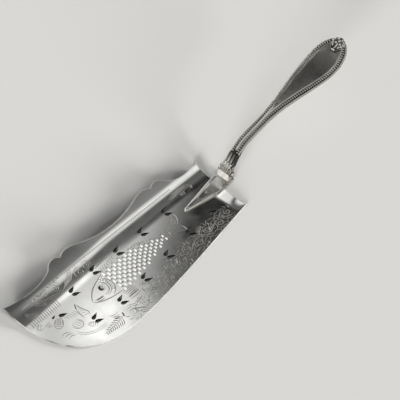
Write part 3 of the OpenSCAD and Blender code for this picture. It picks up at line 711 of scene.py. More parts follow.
def scroll_cuts(e):
    """A running scroll beside the plain edge: spirals that turn to alternate sides, each with a fan
    of leaf cuts and arcs round it, and the flourishes between them."""
    cuts, bold = [], []
    # Centre x, centre y, radius and sense of each spiral
    spirals = ((-14, -20.5, 2.8, 1), (-24.2, -23.6, 3.8, -1), (-34.4, -21.4, 3.4, 1),
               (-45.6, -25.4, 4.2, -1), (-55.2, -23.2, 3.6, 1), (-64.2, -27.8, 4.4, -1),
               (-73, -25, 3.6, 1), (-80.4, -32.4, 4.6, -1), (-88, -28, 3.1, 1),
               (-96.6, -34.2, 3.4, -1), (-105.6, -34.6, 3.2, 1), (-114.4, -34.2, 3.4, -1))
    for x, y, r, sense in spirals:
        cuts.append(spiral(x, y, r, 60 * sense, (r / 1.9) * sense, 1.1 * e.fine, 34))
        middle = 100 * sense
        cuts += fan(x, y, r + 0.7, middle - 70, middle + 70, 5, 2.3, 0.45 * sense, 1.1 * e.fine)
        cuts += [arc(x, y, r + out, r + out - 0.2, 90 * sense + 100,
                     90 * sense + 220 - 12 * out, e.fine, 18) for out in (1.4, 2.8)]
    # Stems that lead from spiral to spiral
    for (x0, y0, r0, s0), (x1, y1, r1, s1) in zip(spirals[:-1], spirals[1:]):
        cuts.append(stroke(((x0 - 0.3, y0 - s0 * (r0 + 0.3)), ((x0 + x1) / 2, (y0 + y1) / 2),
                            (x1 + 0.3, y1 - s1 * (r1 + 0.3))), e.line, 16))
    # Bright flourishes between the spirals
    bold += [stroke(((-98.9, -31.6), (-98, -28.6), (-98.2, -25)), 1.3 * e.bold, 12),
             arc(-95, -25.4, 1.6, 2.8, -80, 260, e.line, 22),
             arc(-95, -25.4, 0.5, 1.4, -60, 240, e.fine, 14),
             stroke(((-88.4, -23.6), (-82, -24.8), (-77.4, -24.6), (-74.4, -27.2),
                     (-70.6, -28.4)), e.line, 24),
             stroke(((-82, -28), (-81.5, -28.9), (-81.1, -29.8)), 1.3 * e.bold, 9),
             stroke(((-94.6, -36.6), (-91.4, -34.2), (-86.6, -33.6), (-83, -31.8)), e.line, 20),
             stroke(((-93, -37.4), (-89.6, -35.8), (-86, -35.4), (-84, -34)), e.line, 18),
             stroke(((-112.4, -37), (-112, -34.6), (-112.2, -32)), 1.2 * e.bold, 12),
             stroke(((-57, -21.2), (-54, -19.8), (-50.6, -20.2)), e.line),
             stroke(((-67.2, -26.8), (-66.8, -24.6), (-66.9, -22.6)), e.bold, 9)]
    bold += rows(((-108.2, -31.2), (-103.6, -30)), ((-105, -27.2), (-101, -26.8)), 4, e.line, -0.1)
    bold += rows(((-106.8, -32.8), (-102.2, -31.8)), ((-105.4, -31), (-100.8, -30)),
                 3, 1.1 * e.bold, -0.1)
    cuts += rows(((-97.6, -22.6), (-94.6, -22)), ((-95.6, -19.6), (-92.6, -19.4)), 3, e.line, -0.1)
    cuts += rows(((-43.4, -21.6), (-38.4, -19)), ((-39.4, -17.6), (-35.2, -16)), 4, e.fine, -0.1)
    cuts += rows(((-36, -25.4), (-31, -23.4)), ((-32.6, -20.6), (-28.6, -19.4)), 4, e.fine, -0.12)
    # Long wavy lines through the band, like the grain of wood
    at = np.linspace(0, 1, 60)
    for k in range(5):
        x = -64 + 2 * k + (54 - 2.6 * k) * at
        wave = 1.1 * np.sin(9 * np.pi * at + 0.7 * k) + 0.5 * np.sin(21 * np.pi * at)
        y = -31.4 + 3.1 * k + (4.6 - 0.4 * k) * at + wave
        cuts.append((np.stack([x, y], axis=1), 0.9 * e.fine, 0.0, 1.0))
    cuts += [arc(-18.6, -20.2, 2.2, 1.9, 10, 170, e.fine, 12)]
    return cuts + bold


def upper_cuts(e):
    """Leaves and scrolls on the turned-up side, and the dashed line scored along its ridge."""
    bright = [stroke(((-158 + 1.6 * k, 15 + 0.2 * k), (-150.8 + 0.6 * k, 12.8 + 0.9 * k),
                      (-145 + 0.4 * k, 11 + 1.1 * k), (-139.4 + 0.3 * k, 9.9 + 1.2 * k),
                      (-133 - 0.4 * k, 9.4 + 1.2 * k)), e.fine, 26) for k in range(2)]
    # Swirls near the front edge
    bright += [arc(-160.4, 11.2, 1.2 + 1.3 * k, 1.1 + 1.2 * k, 140, 335, 0.9 * e.fine, 18)
               for k in range(3)]
    bright += [arc(-152.4, 10.8, 1.1 + 1.2 * k, 1 + 1.1 * k, -30, 150, 0.9 * e.fine, 16)
               for k in range(3)]
    bright += [arc(-147, 19, 3.1, 2.6, 195, 345, 1.2 * e.bold, 16),
               stroke(((-163.4, 16.6), (-160, 16.8), (-156.6, 17)), 1.2 * e.bold, 14),
               spiral(-137, 14.2, 3.3, 200, -1.9, 1.1 * e.line, 30),
               arc(-137, 14.2, 4.4, 4, 20, 170, e.line, 18),
               spiral(-144.8, 15.2, 2.1, 30, 1.4, e.line, 22)]
    # Bright zigzag where the crest begins
    bright += [stroke(((-154.4 + 3.1 * k, 16.3 + 0.2 * k), (-153.4 + 3.1 * k, 17.5 + 0.2 * k),
                       (-151.9 + 3.1 * k, 16.7 + 0.2 * k)), e.bold, 9) for k in range(8)]
    bright += rows(((-133.6, 10.2), (-125.4, 12)), ((-128.4, 14.6), (-120.6, 18.4)),
                   6, 1.1 * e.line, -0.1)
    bright += rows(((-126.8, 15.4), (-123.4, 18.8)), ((-124.6, 14.6), (-121.2, 18)), 4, e.fine, 0.1)
    bright += [spiral(-116.6, 12.6, 2.9, 160, 1.6, e.line),
               spiral(-110.6, 14, 2.4, 20, -1.5, e.line, 20),
               arc(-116.6, 12.6, 4, 3.9, 60, 200, e.line, 20),
               arc(-110.6, 14, 3.5, 3.2, -30, 120, e.fine, 18)]
    # Scroll round the single hole at the heel
    bright += [stroke(((-33.8 + 1.2 * k, 14.4 + 0.85 * k), (-30.4 + 0.8 * k, 13.4 + 0.9 * k),
                       (-24.6 + 0.4 * k, 13.9 + 0.75 * k), (-17.6 + 0.2 * k, 14.4 + 0.5 * k)),
                      e.line, 20) for k in range(4)]
    bright += [arc(-17.6, 12.4, 3.2, 2.8, -50, 75, e.line, 14),
               arc(-17.6, 12.4, 2, 1.8, -50, 75, e.fine, 12)]
    bright += rows(((-24.6, 10.4), (-21.8, 10.2)), ((-24.2, 13), (-21.4, 12.8)), 3, e.fine, 0.1)
    # Ridge
    shaded = [stroke(((-134, 18.5), (-110, 19.1), (-80, 19.5), (-50, 19.6), (-28, 19.5)),
                     0.75 * e.fine, 40)]
    shaded += rows(((-134, 17.9), (-28, 18.9)), ((-133.6, 19.2), (-27.6, 20.2)), 60, e.line)
    return shaded, bright


def edge_cut(b, e):
    """A line just inside the wavy edge: the outline moved inwards at a right angle to itself."""
    outline = blade_outline(b)
    inner = outline + 0.7 * inward_of(outline)
    wavy = inner[(outline[:, 1] > 21.5) & (outline[:, 0] > -158) & (outline[:, 0] < -4)]
    return [(wavy[np.argsort(wavy[:, 0])], 1.3 * e.line, 0.0, 1.0)]


def dense(path, spacing=0.3):
    """The path again with points at an even, close spacing."""
    runs = runs_along(path)
    at = np.linspace(0, runs[-1], max(int(runs[-1] / spacing), 2))
    return np.stack([np.interp(at, runs, path[:, 0]), np.interp(at, runs, path[:, 1])], axis=1)


def layers_of(cuts):
    """Shares the cuts among layers in which no two of them touch, so that each layer is a set of
    separate solids."""
    clear = 0.35
    paths = [dense(cut[0]) for cut in cuts]
    half = np.array([0.85 * cut[1] + clear for cut in cuts])
    low = np.array([path.min(axis=0) for path in paths]) - half[:, None]
    high = np.array([path.max(axis=0) for path in paths]) + half[:, None]
    layer_of = np.zeros(len(cuts), int)
    for i, path in enumerate(paths):
        near = np.flatnonzero(np.all((low[:i] < high[i]) & (high[:i] > low[i]), axis=1))
        apart = [np.min(np.linalg.norm(path[:, None] - paths[k][None], axis=-1)) for k in near]
        taken = {layer_of[k] for k, gap in zip(near, apart) if gap < half[i] + half[k]}
        layer_of[i] = next(n for n in range(len(taken) + 1) if n not in taken)
    return [[cut for cut, n in zip(cuts, layer_of) if n == layer] for layer in range(layer_of.max() + 1)]


def groove_rings(b, e, cuts, bias):
    """Three-sided cutters for cuts that have equally many points: the lowest edge follows the path
    at the cut's depth, and two edges over the sheet follow it at the sides. Width and depth swell
    from both ends as a power of a sine, faster in deeper cuts: its root in plain ones. The bias
    widens the walls that face the light, which comes from between the X and Y axes."""
    paths = np.stack([cut[0] for cut in cuts])
    width, lean, deep = (np.array([cut[k] for cut in cuts])[:, None] for k in (1, 2, 3))
    swell = np.sin(np.pi * np.linspace(0.03, 0.97, paths.shape[1])) ** (0.5 / deep ** 2)
    depth = np.minimum(e.steepness * width, e.deepest) * deep * swell
    over, steepest = 0.12, 0.85
    half = 0.5 * width * swell * (1 + over / depth)
    side = left_of(paths)
    to_light = side @ [math.sqrt(0.5), math.sqrt(0.5)]
    lean = np.clip(lean + bias * to_light, -steepest, steepest)
    left = paths + side * (half * (1 + lean))[..., None]
    right = paths - side * (half * (1 - lean))[..., None]
    levels = [(paths, -depth), (left, over), (right, over)]
    return np.stack([at_height(plan, top_z(b, plan) + up) for plan, up in levels], axis=2)


def groove_cutters(b, e, cuts, bias, name, material):
    """One cutter object for each layer of the cuts."""
    cutters = []
    for number, layer in enumerate(layers_of(cuts)):
        points, blocks, start = [], [], 0
        for rings in sorted({len(cut[0]) for cut in layer}):
            p, faces = carried(groove_rings(b, e, [cut for cut in layer if len(cut[0]) == rings], bias))
            blocks += [face + start for face in faces]
            points.append(p)
            start += len(p)
        cutter = add_mesh(f"{name}_{number}", np.vstack(points), blocks, b.blade_len)
        cutter.data.materials.append(material)
        cutters.append((cutter, "DIFFERENCE"))
    return cutters


# Handle

# Share of the panel's crown that the beads follow
BEAD_LIFT = 0.35
# Growth of the beads' radius beside the tip leaf
BEAD_GROWTH = 0.35
# Run over which the beads grow
BEAD_GROWTH_RUN = 9
# End of the ramp by which the tongue's panel sweeps up to the foot
RAMP_TO = 2.4


def handle_line(h):
    """Points (x, z) along the handle's upper side: three cubic spans between foot, bend, upturn
    and tip, and a straight run beyond the tip."""
    knots = np.array([(h.foot_at, h.pad_z), (h.bend_at, h.bend_z),
                      (h.upturn_at, h.upturn_z), (h.handle_len, h.tip_z)])
    slopes = np.array([h.foot_angle, h.bend_angle, h.upturn_angle, h.tip_angle])
    ahead = np.stack([np.cos(slopes), np.sin(slopes)], axis=1)
    pull = 0.34
    reach = pull * np.linalg.norm(np.diff(knots, axis=0), axis=1, keepdims=True)
    controls = np.stack([knots[:-1], knots[:-1] + reach * ahead[:-1],
                         knots[1:] - reach * ahead[1:], knots[1:]], axis=1)
    return np.vstack([cubics(controls, 96), knots[-1:], knots[-1:] + 4 * ahead[-1:]])


def on_handle(h, x, y, n):
    """Points at x along the handle, y across it and n above its upper side at a right angle."""
    line_x, line_z = handle_line(h).T
    x, y, n = np.broadcast_arrays(np.asarray(x, float), y, n)
    near = 0.3
    rise = np.interp(x + near, line_x, line_z) - np.interp(x - near, line_x, line_z)
    slope = np.where(x <= h.foot_at + near, h.foot_angle, np.arctan2(rise, 2 * near))
    z = np.interp(x, line_x, line_z)
    return np.stack([x - n * np.sin(slope), y, z + n * np.cos(slope)], axis=-1)


def half_width(h, x):
    """Half width in plan: the foot draws in to the stem, which swells to an oval end that closes as a
    quarter of an ellipse."""
    neck = eased(x, h.foot_at, h.stem_from, h.foot_half_w, h.stem_half_w)
    swell = eased(x, h.swell_from, h.widest_at, h.stem_half_w, h.end_half_w)
    round_end = np.clip((x - h.widest_at) / (h.handle_len - h.widest_at), 0, 1)
    end = h.end_half_w * np.sqrt(1 - round_end ** 2)
    return np.where(x < h.stem_from, neck, np.where(x < h.widest_at, swell, end))


def width_slope(h, x):
    """Change of the half width along the handle, from two places close by."""
    near = 0.2
    return (half_width(h, x + near) - half_width(h, x - near)) / (2 * near)


def bead_growth(h, x):
    """How much of their growth the beads have beside the tip leaf, from 0 to 1."""
    return step01((x - h.widest_at - 1) / BEAD_GROWTH_RUN)


def end_stations(h, last_degrees, count):
    """Stations that crowd towards the handle's round tip: a sine of even steps."""
    a = np.radians(np.linspace(0, last_degrees, count))
    return h.widest_at + (h.handle_len - h.widest_at) * np.sin(a)


def crown(h, x):
    """Rise of the land above the wires: straight lines between five places along the handle."""
    places = (h.swell_from - 4, h.swell_from + 18, h.upturn_at - 14, h.upturn_at, h.widest_at + 4)
    return h.crown_h * np.interp(x, places, (0, 1, 1, 0.6, 0))


def core_rings(h):
    """Handle section at each station: an elliptic underside, seats for the wires, and a rib that is
    highest in the middle as 1 - across squared; where the handle widens it parts into two rounded
    lands with the sunk panel between them, and all of this is lifted by the crown. Gives the rings
    and the share of patina colour at each point: patina in the hollows, and painted shade on the
    neck and on the panel towards the turned-up end."""
    x = np.concatenate([np.linspace(h.foot_at, h.bend_at, 48)[:-1],
                        np.linspace(h.bend_at, h.widest_at, 90)[:-1], end_stations(h, 82, 24)])[:, None]
    w = half_width(h, x)
    t = eased(x, h.swell_from, h.upturn_at, h.stem_t, h.end_t)
    stretch = np.sqrt(1 + width_slope(h, x) ** 2)
    seat = np.maximum(eased(x, h.stem_from, h.wire_from, 0, h.bead_d / 2), 0.05)
    wires = h.rim_d + h.wire_clear + h.bead_d + 2 * BEAD_GROWTH * bead_growth(h, x)
    land = np.maximum(w - wires * stretch, 0.5)
    panel = np.maximum(land - np.minimum(h.land_w * stretch, 0.45 * land), 0.15)
    parted = step01((panel - 0.45) / 1.1)
    under = np.linspace(0, np.pi / 2, 12)[None, 1:]
    side_n = 0.5 * t + 0.2
    y = [w * np.sin(under), w, land + 0.02]
    rise = crown(h, x)
    n = [-side_n - (t - side_n) * np.cos(under), -seat, BEAD_LIFT * rise - seat]
    patina_and_shade = [0.1 + 0 * w * under, 0.5 + 0 * w, 1 + 0 * w]
    # Land from its outer foot over its crest to the panel, then the panel's floor to the middle
    foot_to_panel = np.array([[0, 0.1, 0.3, 0.55, 0.8, 1.0]])
    land_n = np.array([[-0.16, 0.02, 0.12, 0.14, 0.04, -0.6 * h.panel_depth]])
    land_patina = np.array([[0.9, 0.4, 0, 0, 0.3, 0.8]])
    across = np.linspace(0.95, 0, 9)[None]
    top_y = np.concatenate([land + (panel - land) * foot_to_panel, panel * across], axis=1)
    raised = np.concatenate([np.array([[0.55, 0.75, 0.92, 1, 1, 1]]), 0 * across + 1], axis=1)
    rib_n = h.rib_crown * (1 - (top_y / land) ** 2)
    parted_n = np.concatenate([land_n, np.full_like(across, -h.panel_depth)], axis=1)
    # Patina in the sunk panel, with painted shade that darkens it towards the turned-up end
    panel_patina_and_shade = 0.48 + 0.14 * step01((x - 84) / 14) + 0 * across
    parted_patina_and_shade = np.concatenate([land_patina + 0 * x, panel_patina_and_shade], axis=1)
    y.append(top_y)
    n.append(rib_n + parted * (parted_n - rib_n) + rise * raised)
    patina_and_shade.append(parted * parted_patina_and_shade)
    half = np.stack([np.concatenate(parts, axis=1) for parts in (y, n, patina_and_shade)], axis=-1)
    low = np.concatenate([0 * x, -t, 0.1 + 0 * x], axis=1)[:, None]
    ring = np.concatenate([low, half, half[:, -2::-1] * [-1, 1, 1]], axis=1)
    rings = on_handle(h, x, ring[..., 0], ring[..., 1])
    # The foot's ring is slid down the neck on to the pad
    foot = rings[0]
    lift = (h.pad_z - foot[:, 2:]) * [1 / math.tan(h.foot_angle), 0, 1]
    # Painted shade: the patina colour darkens the neck under the leaf's sheath and up to the wires
    painted_neck_shade = between(x, 9, 1.5, h.wire_from, 3)
    return np.concatenate([(foot + lift)[None], rings[1:]])[None], np.maximum(ring[..., 2], painted_neck_shade)


def wire_path(h, inset, growth, n, lift, tip_leaf_half_w):
    """Path along the handle's left edge, set in at a right angle, lifted by a share of the crown and
    ended beside the tip leaf."""
    x = np.concatenate([np.linspace(h.wire_from, h.widest_at, 160)[:-1], end_stations(h, 84, 80)])
    k = width_slope(h, x)
    inwards = np.stack([k, -np.ones_like(k)], axis=1) / np.sqrt(1 + k * k)[:, None]
    set_in = inset + growth * bead_growth(h, x)
    plan = np.stack([x, half_width(h, x)], axis=1) + set_in[:, None] * inwards
    kept = plan[(x < h.widest_at) | (plan[:, 1] > tip_leaf_half_w - 0.3)]
    return on_handle(h, kept[:, 0], kept[:, 1], n + lift * crown(h, kept[:, 0]))


def wire_rings(path, step, radius_of, full_of):
    """Round wire: a circle whose radius follows the distance along the path. Gives the rings and, for
    each, its radius as a share of the full radius there."""
    runs = runs_along(path)
    s = np.arange(0, runs[-1], step)
    centre = np.stack([np.interp(s, runs, path[:, k]) for k in range(3)], axis=1)
    ahead = np.gradient(centre, axis=0)
    ahead /= np.linalg.norm(ahead, axis=1, keepdims=True)
    left = np.cross([0, 0, 1], ahead)
    left /= np.linalg.norm(left, axis=1, keepdims=True)
    up = np.cross(ahead, left)
    a = np.linspace(0, 2 * np.pi, 14, endpoint=False)[None, :, None]
    around = np.cos(a) * left[:, None] + np.sin(a) * up[:, None]
    radius = radius_of(s)
    rings = centre[:, None] + radius[:, None, None] * around
    return rings[None], (radius / full_of(s))[:, None]


def mirrored_rings(rings):
    """The same rings on the other side of the handle's line, still anticlockwise."""
    return rings[:, :, ::-1] * [1, -1, 1]


def panel_start(h):
    """Where the tongue's sunk panel begins, behind the tip in which the flanges meet."""
    return -h.tongue_len + 1.4 * h.flange_w


def tongue_rings(h, sheet_t):
    """Tongue section at each station: straight sides, two raised flanges with bevelled edges, and a
    sunk panel that sweeps up to the foot. The panel's height over the flanges is the negative depth
    plus a slope that eases in; where it stands over them it is crowned as 1 - across squared. Gives
    the rings, their stations and that height."""
    panel_from, panel_end_run, tip_run = panel_start(h), 2.5, 0.8
    x = np.unique(np.concatenate([np.linspace(-h.tongue_len, h.pad_len, 90),
                                  panel_from + np.linspace(0, panel_end_run, 9),
                                  -h.tongue_len + np.array([0.15, 0.4, tip_run])]))[:, None]
    grow = (x + h.tongue_len) / h.tongue_len
    tip = 1 - step01((x + h.tongue_len) / tip_run)
    taper = h.tongue_tip_w + (h.tongue_half_w - h.tongue_tip_w) * grow
    pad_end = h.foot_half_w + 0.2
    w = np.where(x < 0, taper, h.tongue_half_w + (pad_end - h.tongue_half_w) * x / h.pad_len)
    w = w - 0.35 * tip
    top = np.minimum(h.tongue_tip_z + (h.pad_z - h.tongue_tip_z) * grow, h.pad_z)
    top = top - 0.3 * tip
    ramp_from, ease = -6.5, 3.5
    swept = math.tan(h.pad_slope) * swept_up(np.clip(x, ramp_from, RAMP_TO) - ramp_from, ease)
    over = (swept - h.sunk_depth) * step01((x - panel_from) / panel_end_run)
    over = over * (1 - step01((x - RAMP_TO) / 1.5))
    crowned = step01((over + 0.25) / 0.5)
    small = np.minimum(w / 3, 1)
    foot = np.maximum(w - h.flange_w - 0.4, 0.25 * w)
    shelf = np.maximum(w - h.flange_w + 0.3, foot + 0.15 * w)
    across = np.linspace(1, 0, 9)[None]
    flush = over * (1 - crowned)
    y = [w, w, w - 0.07 * small, w - 0.26 * small, shelf, 0.5 * (shelf + foot), foot * across]
    z = [sheet_t + 0 * x, top - 0.24 * small, top - 0.06 * small, top, top, top + 0.5 * flush,
         top + over * (1 - crowned * across ** 2)]
    half = np.stack([np.concatenate(parts, axis=1) for parts in (y, z)], axis=-1)
    ring = np.concatenate([half, half[:, -2::-1] * [-1, 1]], axis=1)
    stations = np.broadcast_to(x[..., None], ring.shape[:2] + (1,))
    return np.concatenate([stations, ring], axis=-1)[None], x[:, 0], over[:, 0]


# Leaves

def leaf_rings(h, x, half, top_n, low_n):
    """Leaf section at each station: along the underside from right to left, back along the top."""
    y = half * np.linspace(-1, 1, top_n.shape[1])[None]
    top = on_handle(h, x, y, top_n)
    low = on_handle(h, x, y, low_n)
    return np.concatenate([low, top[:, ::-1]], axis=1)[None]


def ridge(t):
    """Rounded ridges with sharp furrows between them, one for each whole step of t: an absolute sine
    to the power of two thirds."""
    return np.abs(np.sin(np.pi * t)) ** (2 / 3)


def bump(d, width):
    """A bell curve of the distance d."""
    return np.exp(-(d / width) ** 2)


def neck_leaf(h, leaf):
    """Acanthus leaf on the neck: a corded edge, a collar with a slight slanting ripple, two lobes with
    flutes that fan out and a ringed volute each, a drop between them, and a fluted sheath up to the
    stem. Ridges are absolute sines and lumps are bell curves of the distance from their middles.
    Gives the rings, and the share of patina colour: patina in the furrows and rings, and painted shade
    over the sheath."""
    u, v = np.linspace(0, 1, 190)[:, None], np.linspace(-1, 1, 131)[None]
    start = h.foot_at + 0.1
    x = start + (leaf.neck_leaf_to - start) * u
    core = half_width(h, x)
    lobes_out = (leaf.neck_leaf_half_w - h.foot_half_w) * bump(x - 6.6, 1.5)
    half = core + 0.45 * (1 - step01((x - 9) / 2)) + lobes_out - 0.15 * u
    y = half * v
    collar = between(x, 3.35, 0.35, 5.7, 0.7)
    dents = 0.5 - 0.5 * np.sin(2 * np.pi * y / 4.3 + 1.1 * x)
    cord = bump(x - 3.32, 0.2) * (0.55 + 0.45 * np.cos(2 * np.pi * y / 1.1))
    lobes = between(x, 5.8, 0.5, 9.6, 0.8)
    sheath = step01((x - 9.4) / 0.8)
    flutes = ridge(np.arctan2(y, x - 4.2) / 0.42 + 0.5)
    far = np.hypot(x - 7.2, np.abs(y) - 2.9)
    calm = 1 - bump(far, 1.6)
    ring = bump(far - 1.3, 0.4)
    eye = bump(far, 0.5)
    drop = bump((x - 8.3) / 1.2, 0.9) * bump(y, 1.1)
    lines = ridge(y / 2.5)
    volutes = 0.55 * flutes * calm + 0.55 * ring + 0.6 * eye + 0.7 * drop
    carving = (collar * (0.75 - 0.1 * dents) + 0.3 * cord + lobes * (0.25 + volutes)
               + sheath * (0.1 + 0.3 * lines))
    rim = step01((1 - np.abs(v)) / 0.1) * step01(u / 0.015) * step01((1 - u) / 0.04)
    droop = 1.7 * step01((np.abs(y) - core + 1.2) / 3) * np.clip(half / core - 0.9, 0, 1)
    top = leaf.leaf_edge_t + carving * (0.25 + 0.75 * rim) - droop
    low = np.minimum(-droop, top - 0.25)
    furrows = 0.85 * lobes * calm * (1 - drop) * step01((0.78 - flutes) / 0.35)
    rings = lobes * (1.2 * bump(far - 0.75, 0.34) + 0.8 * bump(far - 1.95, 0.3) * (1 - drop))
    # Patina in the furrows and rings, and painted shade over the whole sheath
    dark = (furrows + rings + sheath * (0.66 + 0.5 * step01((0.8 - lines) / 0.4))
            + collar * (0.16 + 0.2 * dents) + bump(x - 6.05, 0.18) + bump(x - 3.6, 0.12))
    hollow = np.concatenate([0 * top + 0.8, dark[:, ::-1]], axis=1)
    return leaf_rings(h, x, half, top, low), hollow


# Along the tip leaf, out from its middle, and radius of each lobe
PALMETTE_LUMPS = ((0.8, 2.5, 0.75), (2.2, 3.6, 0.8), (3.8, 4.2, 0.8), (5.4, 3.5, 0.75),
                  (6.3, 1.6, 0.75), (3.1, 1.7, 0.8), (4.8, 0, 0.85))


def tip_leaf(h, leaf):
    """Palmette on the handle's tip: a cross bar and a stem on the handle's line, round lobes down
    both sides and at the end, and a thin raised rim. Lobes are bell curves of the distance from
    their middles. Gives the rings and the patina."""
    u, v = np.linspace(0, 1, 170)[:, None], np.linspace(-1, 1, 131)[None]
    over = 0.4
    x = h.handle_len + over - leaf.tip_leaf_len * (1 - u)
    stalk = 1.9
    spread = np.sin(np.pi * u ** 1.5) ** 0.8 * (1 - 0.08 * np.cos(5 * np.pi * u))
    half = stalk + (leaf.tip_leaf_half_w - stalk) * spread
    half = half * np.minimum(1, 0.45 + 5 * (1 - u))
    y = half * v
    along = x - (h.handle_len - 7)
    stem = bump(y, 0.55) * between(along, -1.4, 0.5, 2.6, 0.8)
    cross = bump(along + 1.9, 0.5) * (1 - step01((np.abs(y) - 1.2) / 0.6))
    detail = np.maximum(stem, cross)
    for at, out, reach in PALMETTE_LUMPS:
        detail = np.maximum(detail, bump(np.hypot(along - at, np.abs(y) - out), reach))
    edge = bump(np.abs(v) - 0.94, 0.05) * step01(along - 1)
    detail = np.clip(detail + edge, 0, 1)
    rise = 0.35 + 0.65 * np.sin(np.radians(150) * u)
    arch = leaf.tip_leaf_crown * rise * (1 - v ** 4)
    top = leaf.leaf_edge_t + arch * (0.2 + 0.75 * detail) * np.minimum(1, 0.4 + u)
    low = np.minimum(0, top - 0.2)
    hollow = 0.8 * step01((0.55 - detail) / 0.35) * step01((1 - np.abs(v)) / 0.08)
    hollow = np.concatenate([0 * hollow + 0.4, hollow[:, ::-1]], axis=1)
    return leaf_rings(h, x, half, top, low), hollow


# Materials

def add_node(tree, kind, inputs=None, **settings):
    """Adds a node, makes its settings, and sets or links its inputs."""
    new = tree.nodes.new(kind)
    for key, value in settings.items():
        setattr(new, key, value)
    for key, value in (inputs or {}).items():
        if isinstance(value, bpy.types.NodeSocket):
            tree.links.new(value, new.inputs[key])
        else:
            new.inputs[key].default_value = value
    return new


def new_material(name):
    """The named material and its node tree, emptied."""
    material = bpy.data.materials.get(name) or bpy.data.materials.new(name)
    material.use_nodes = True
    material.node_tree.nodes.clear()
    return material, material.node_tree


def silver(name, tone, roughness, patina_and_shade=None, scratch=0.0, smudge=0.0, grain=0.0):
    """Polished or cast silver. The eye gets a near-white mirror that is blurred by wear: scratches
    0.3 mm wide and some 15 mm long, smudges about 12 mm across, and a punched grain of 0.7 mm where
    the metal is matted. Where the piece keeps a share of the patina colour, that colour goes in:
    patina in hollows, and painted shade on parts of the handle and its ornament; other metal dulls
    a little in its smudges."""
    material, tree = new_material(name)
    place = add_node(tree, "ShaderNodeTexCoord").outputs["Object"]
    smudges = add_node(tree, "ShaderNodeTexNoise",
                       {"Vector": place, "Scale": 1 / (12 * MM), "Detail": 3.0}).outputs["Fac"]
    turned = add_node(tree, "ShaderNodeMapping",
                      {"Vector": place, "Rotation": (0, 0, 0.35), "Scale": (0.02, 1, 1)})
    scratches = add_node(tree, "ShaderNodeTexNoise",
                         {"Vector": turned.outputs[0], "Scale": 1 / (0.3 * MM), "Detail": 2.0})
    rough = add_node(tree, "ShaderNodeMapRange",
                     {"Value": smudges, "From Min": 0.3, "From Max": 0.7,
                      "To Min": roughness * (1 - smudge), "To Max": roughness * (1 + smudge)})
    if patina_and_shade:
        # Share of the patina colour: patina in hollows, and painted shade where the piece adds it
        dark = patina_and_shade
        hollow = add_node(tree, "ShaderNodeAttribute", attribute_name="hollow").outputs["Fac"]
        smudged_patina_and_shade = add_node(tree, "ShaderNodeMath", {0: hollow, 1: smudges}, operation="MULTIPLY")
        tarnish_and_shade = add_node(tree, "ShaderNodeMapRange",
                           {"Value": smudged_patina_and_shade.outputs[0], "From Min": 0.08, "From Max": 0.5})
    else:
        dark = tuple(0.72 * c for c in tone[:3]) + (1.0,)
        tarnish_and_shade = add_node(tree, "ShaderNodeMapRange",
                           {"Value": smudges, "From Min": 0.35, "From Max": 0.8, "To Max": 0.25})
    tint = add_node(tree, "ShaderNodeMix", {"Factor": tarnish_and_shade.outputs[0], 6: tone, 7: dark},
                    data_type="RGBA")
    relief = add_node(tree, "ShaderNodeBump", {"Height": scratches.outputs["Fac"], "Strength": scratch,
                                               "Distance": 0.02 * MM})
    if grain:
        cells = add_node(tree, "ShaderNodeTexVoronoi", {"Vector": place, "Scale": 1 / (0.7 * MM)})
        relief = add_node(tree, "ShaderNodeBump",
                          {"Height": cells.outputs["Distance"], "Strength": grain,
                           "Distance": 0.25 * MM, "Normal": relief.outputs[0]})
    shader = add_node(tree, "ShaderNodeBsdfPrincipled",
                      {"Base Color": tint.outputs[2], "Metallic": 1.0, "Roughness": rough.outputs[0],
                       "Normal": relief.outputs[0]})
    add_node(tree, "ShaderNodeOutputMaterial", {"Surface": shader.outputs[0]})
    return material


def sheet_silver(f):
    # Rolled sheet, buffed to a mirror and scratched by years of serving
    return silver("polished_silver_sheet", f.sheet_silver, 0.13, scratch=0.25, smudge=0.3)


def cut_silver(f):
    # Walls of the graver's V-cuts that still shine
    return silver("engraved_silver_line", f.cut_silver, 0.42)


def shaded_cut_silver(f):
    # Fine cuts in which tarnish has stayed: they read as grey lines
    return silver("tarnished_silver_line", f.shaded_silver, 0.3)


def deep_cut_and_hole_shade_silver(f):
    # Deepest cuts, which polishing never reached: nearly black; the same near-black is painted shade on
    # the walls of the pierced holes
    return silver("blackened_cut_and_hole_shade", f.patina_and_shade, 0.4)


def bright_cut_silver(f):
    # Slanted facets of the scales and the head, cut with a polished graver
    return silver("bright_cut_silver", f.sheet_silver, 0.26)


def rivet_silver(f):
    # Head filed and dulled: it hardly stands out from the ground round it
    return silver("dulled_silver_rivet", f.shaded_silver, 0.55)


def handle_silver(f):
    # Forged and burnished, worn grey by hands; painted shade darkens its neck and the turned-up end of
    # its sunk panel
    return silver("worn_silver_handle", f.handle_silver, 0.3, patina_and_shade=f.patina_and_shade, scratch=0.3, smudge=0.35)


def cast_silver(f):
    # Cast and chased ornament: burnished tops, dark hollows, and painted shade on the neck leaf's sheath
    # and the beads' flanks
    return silver("cast_silver_ornament", f.handle_silver, 0.22, patina_and_shade=f.patina_and_shade, smudge=0.2)


def matted_silver(f):
    # Ground of the tongue, punched all over with a matting tool
    return silver("matted_silver_ground", f.handle_silver, 0.36, patina_and_shade=f.patina_and_shade, smudge=0.2, grain=0.6)


# Operators

def settings(context):
    """All the settings of the fish server."""
    return context.scene.fish_server


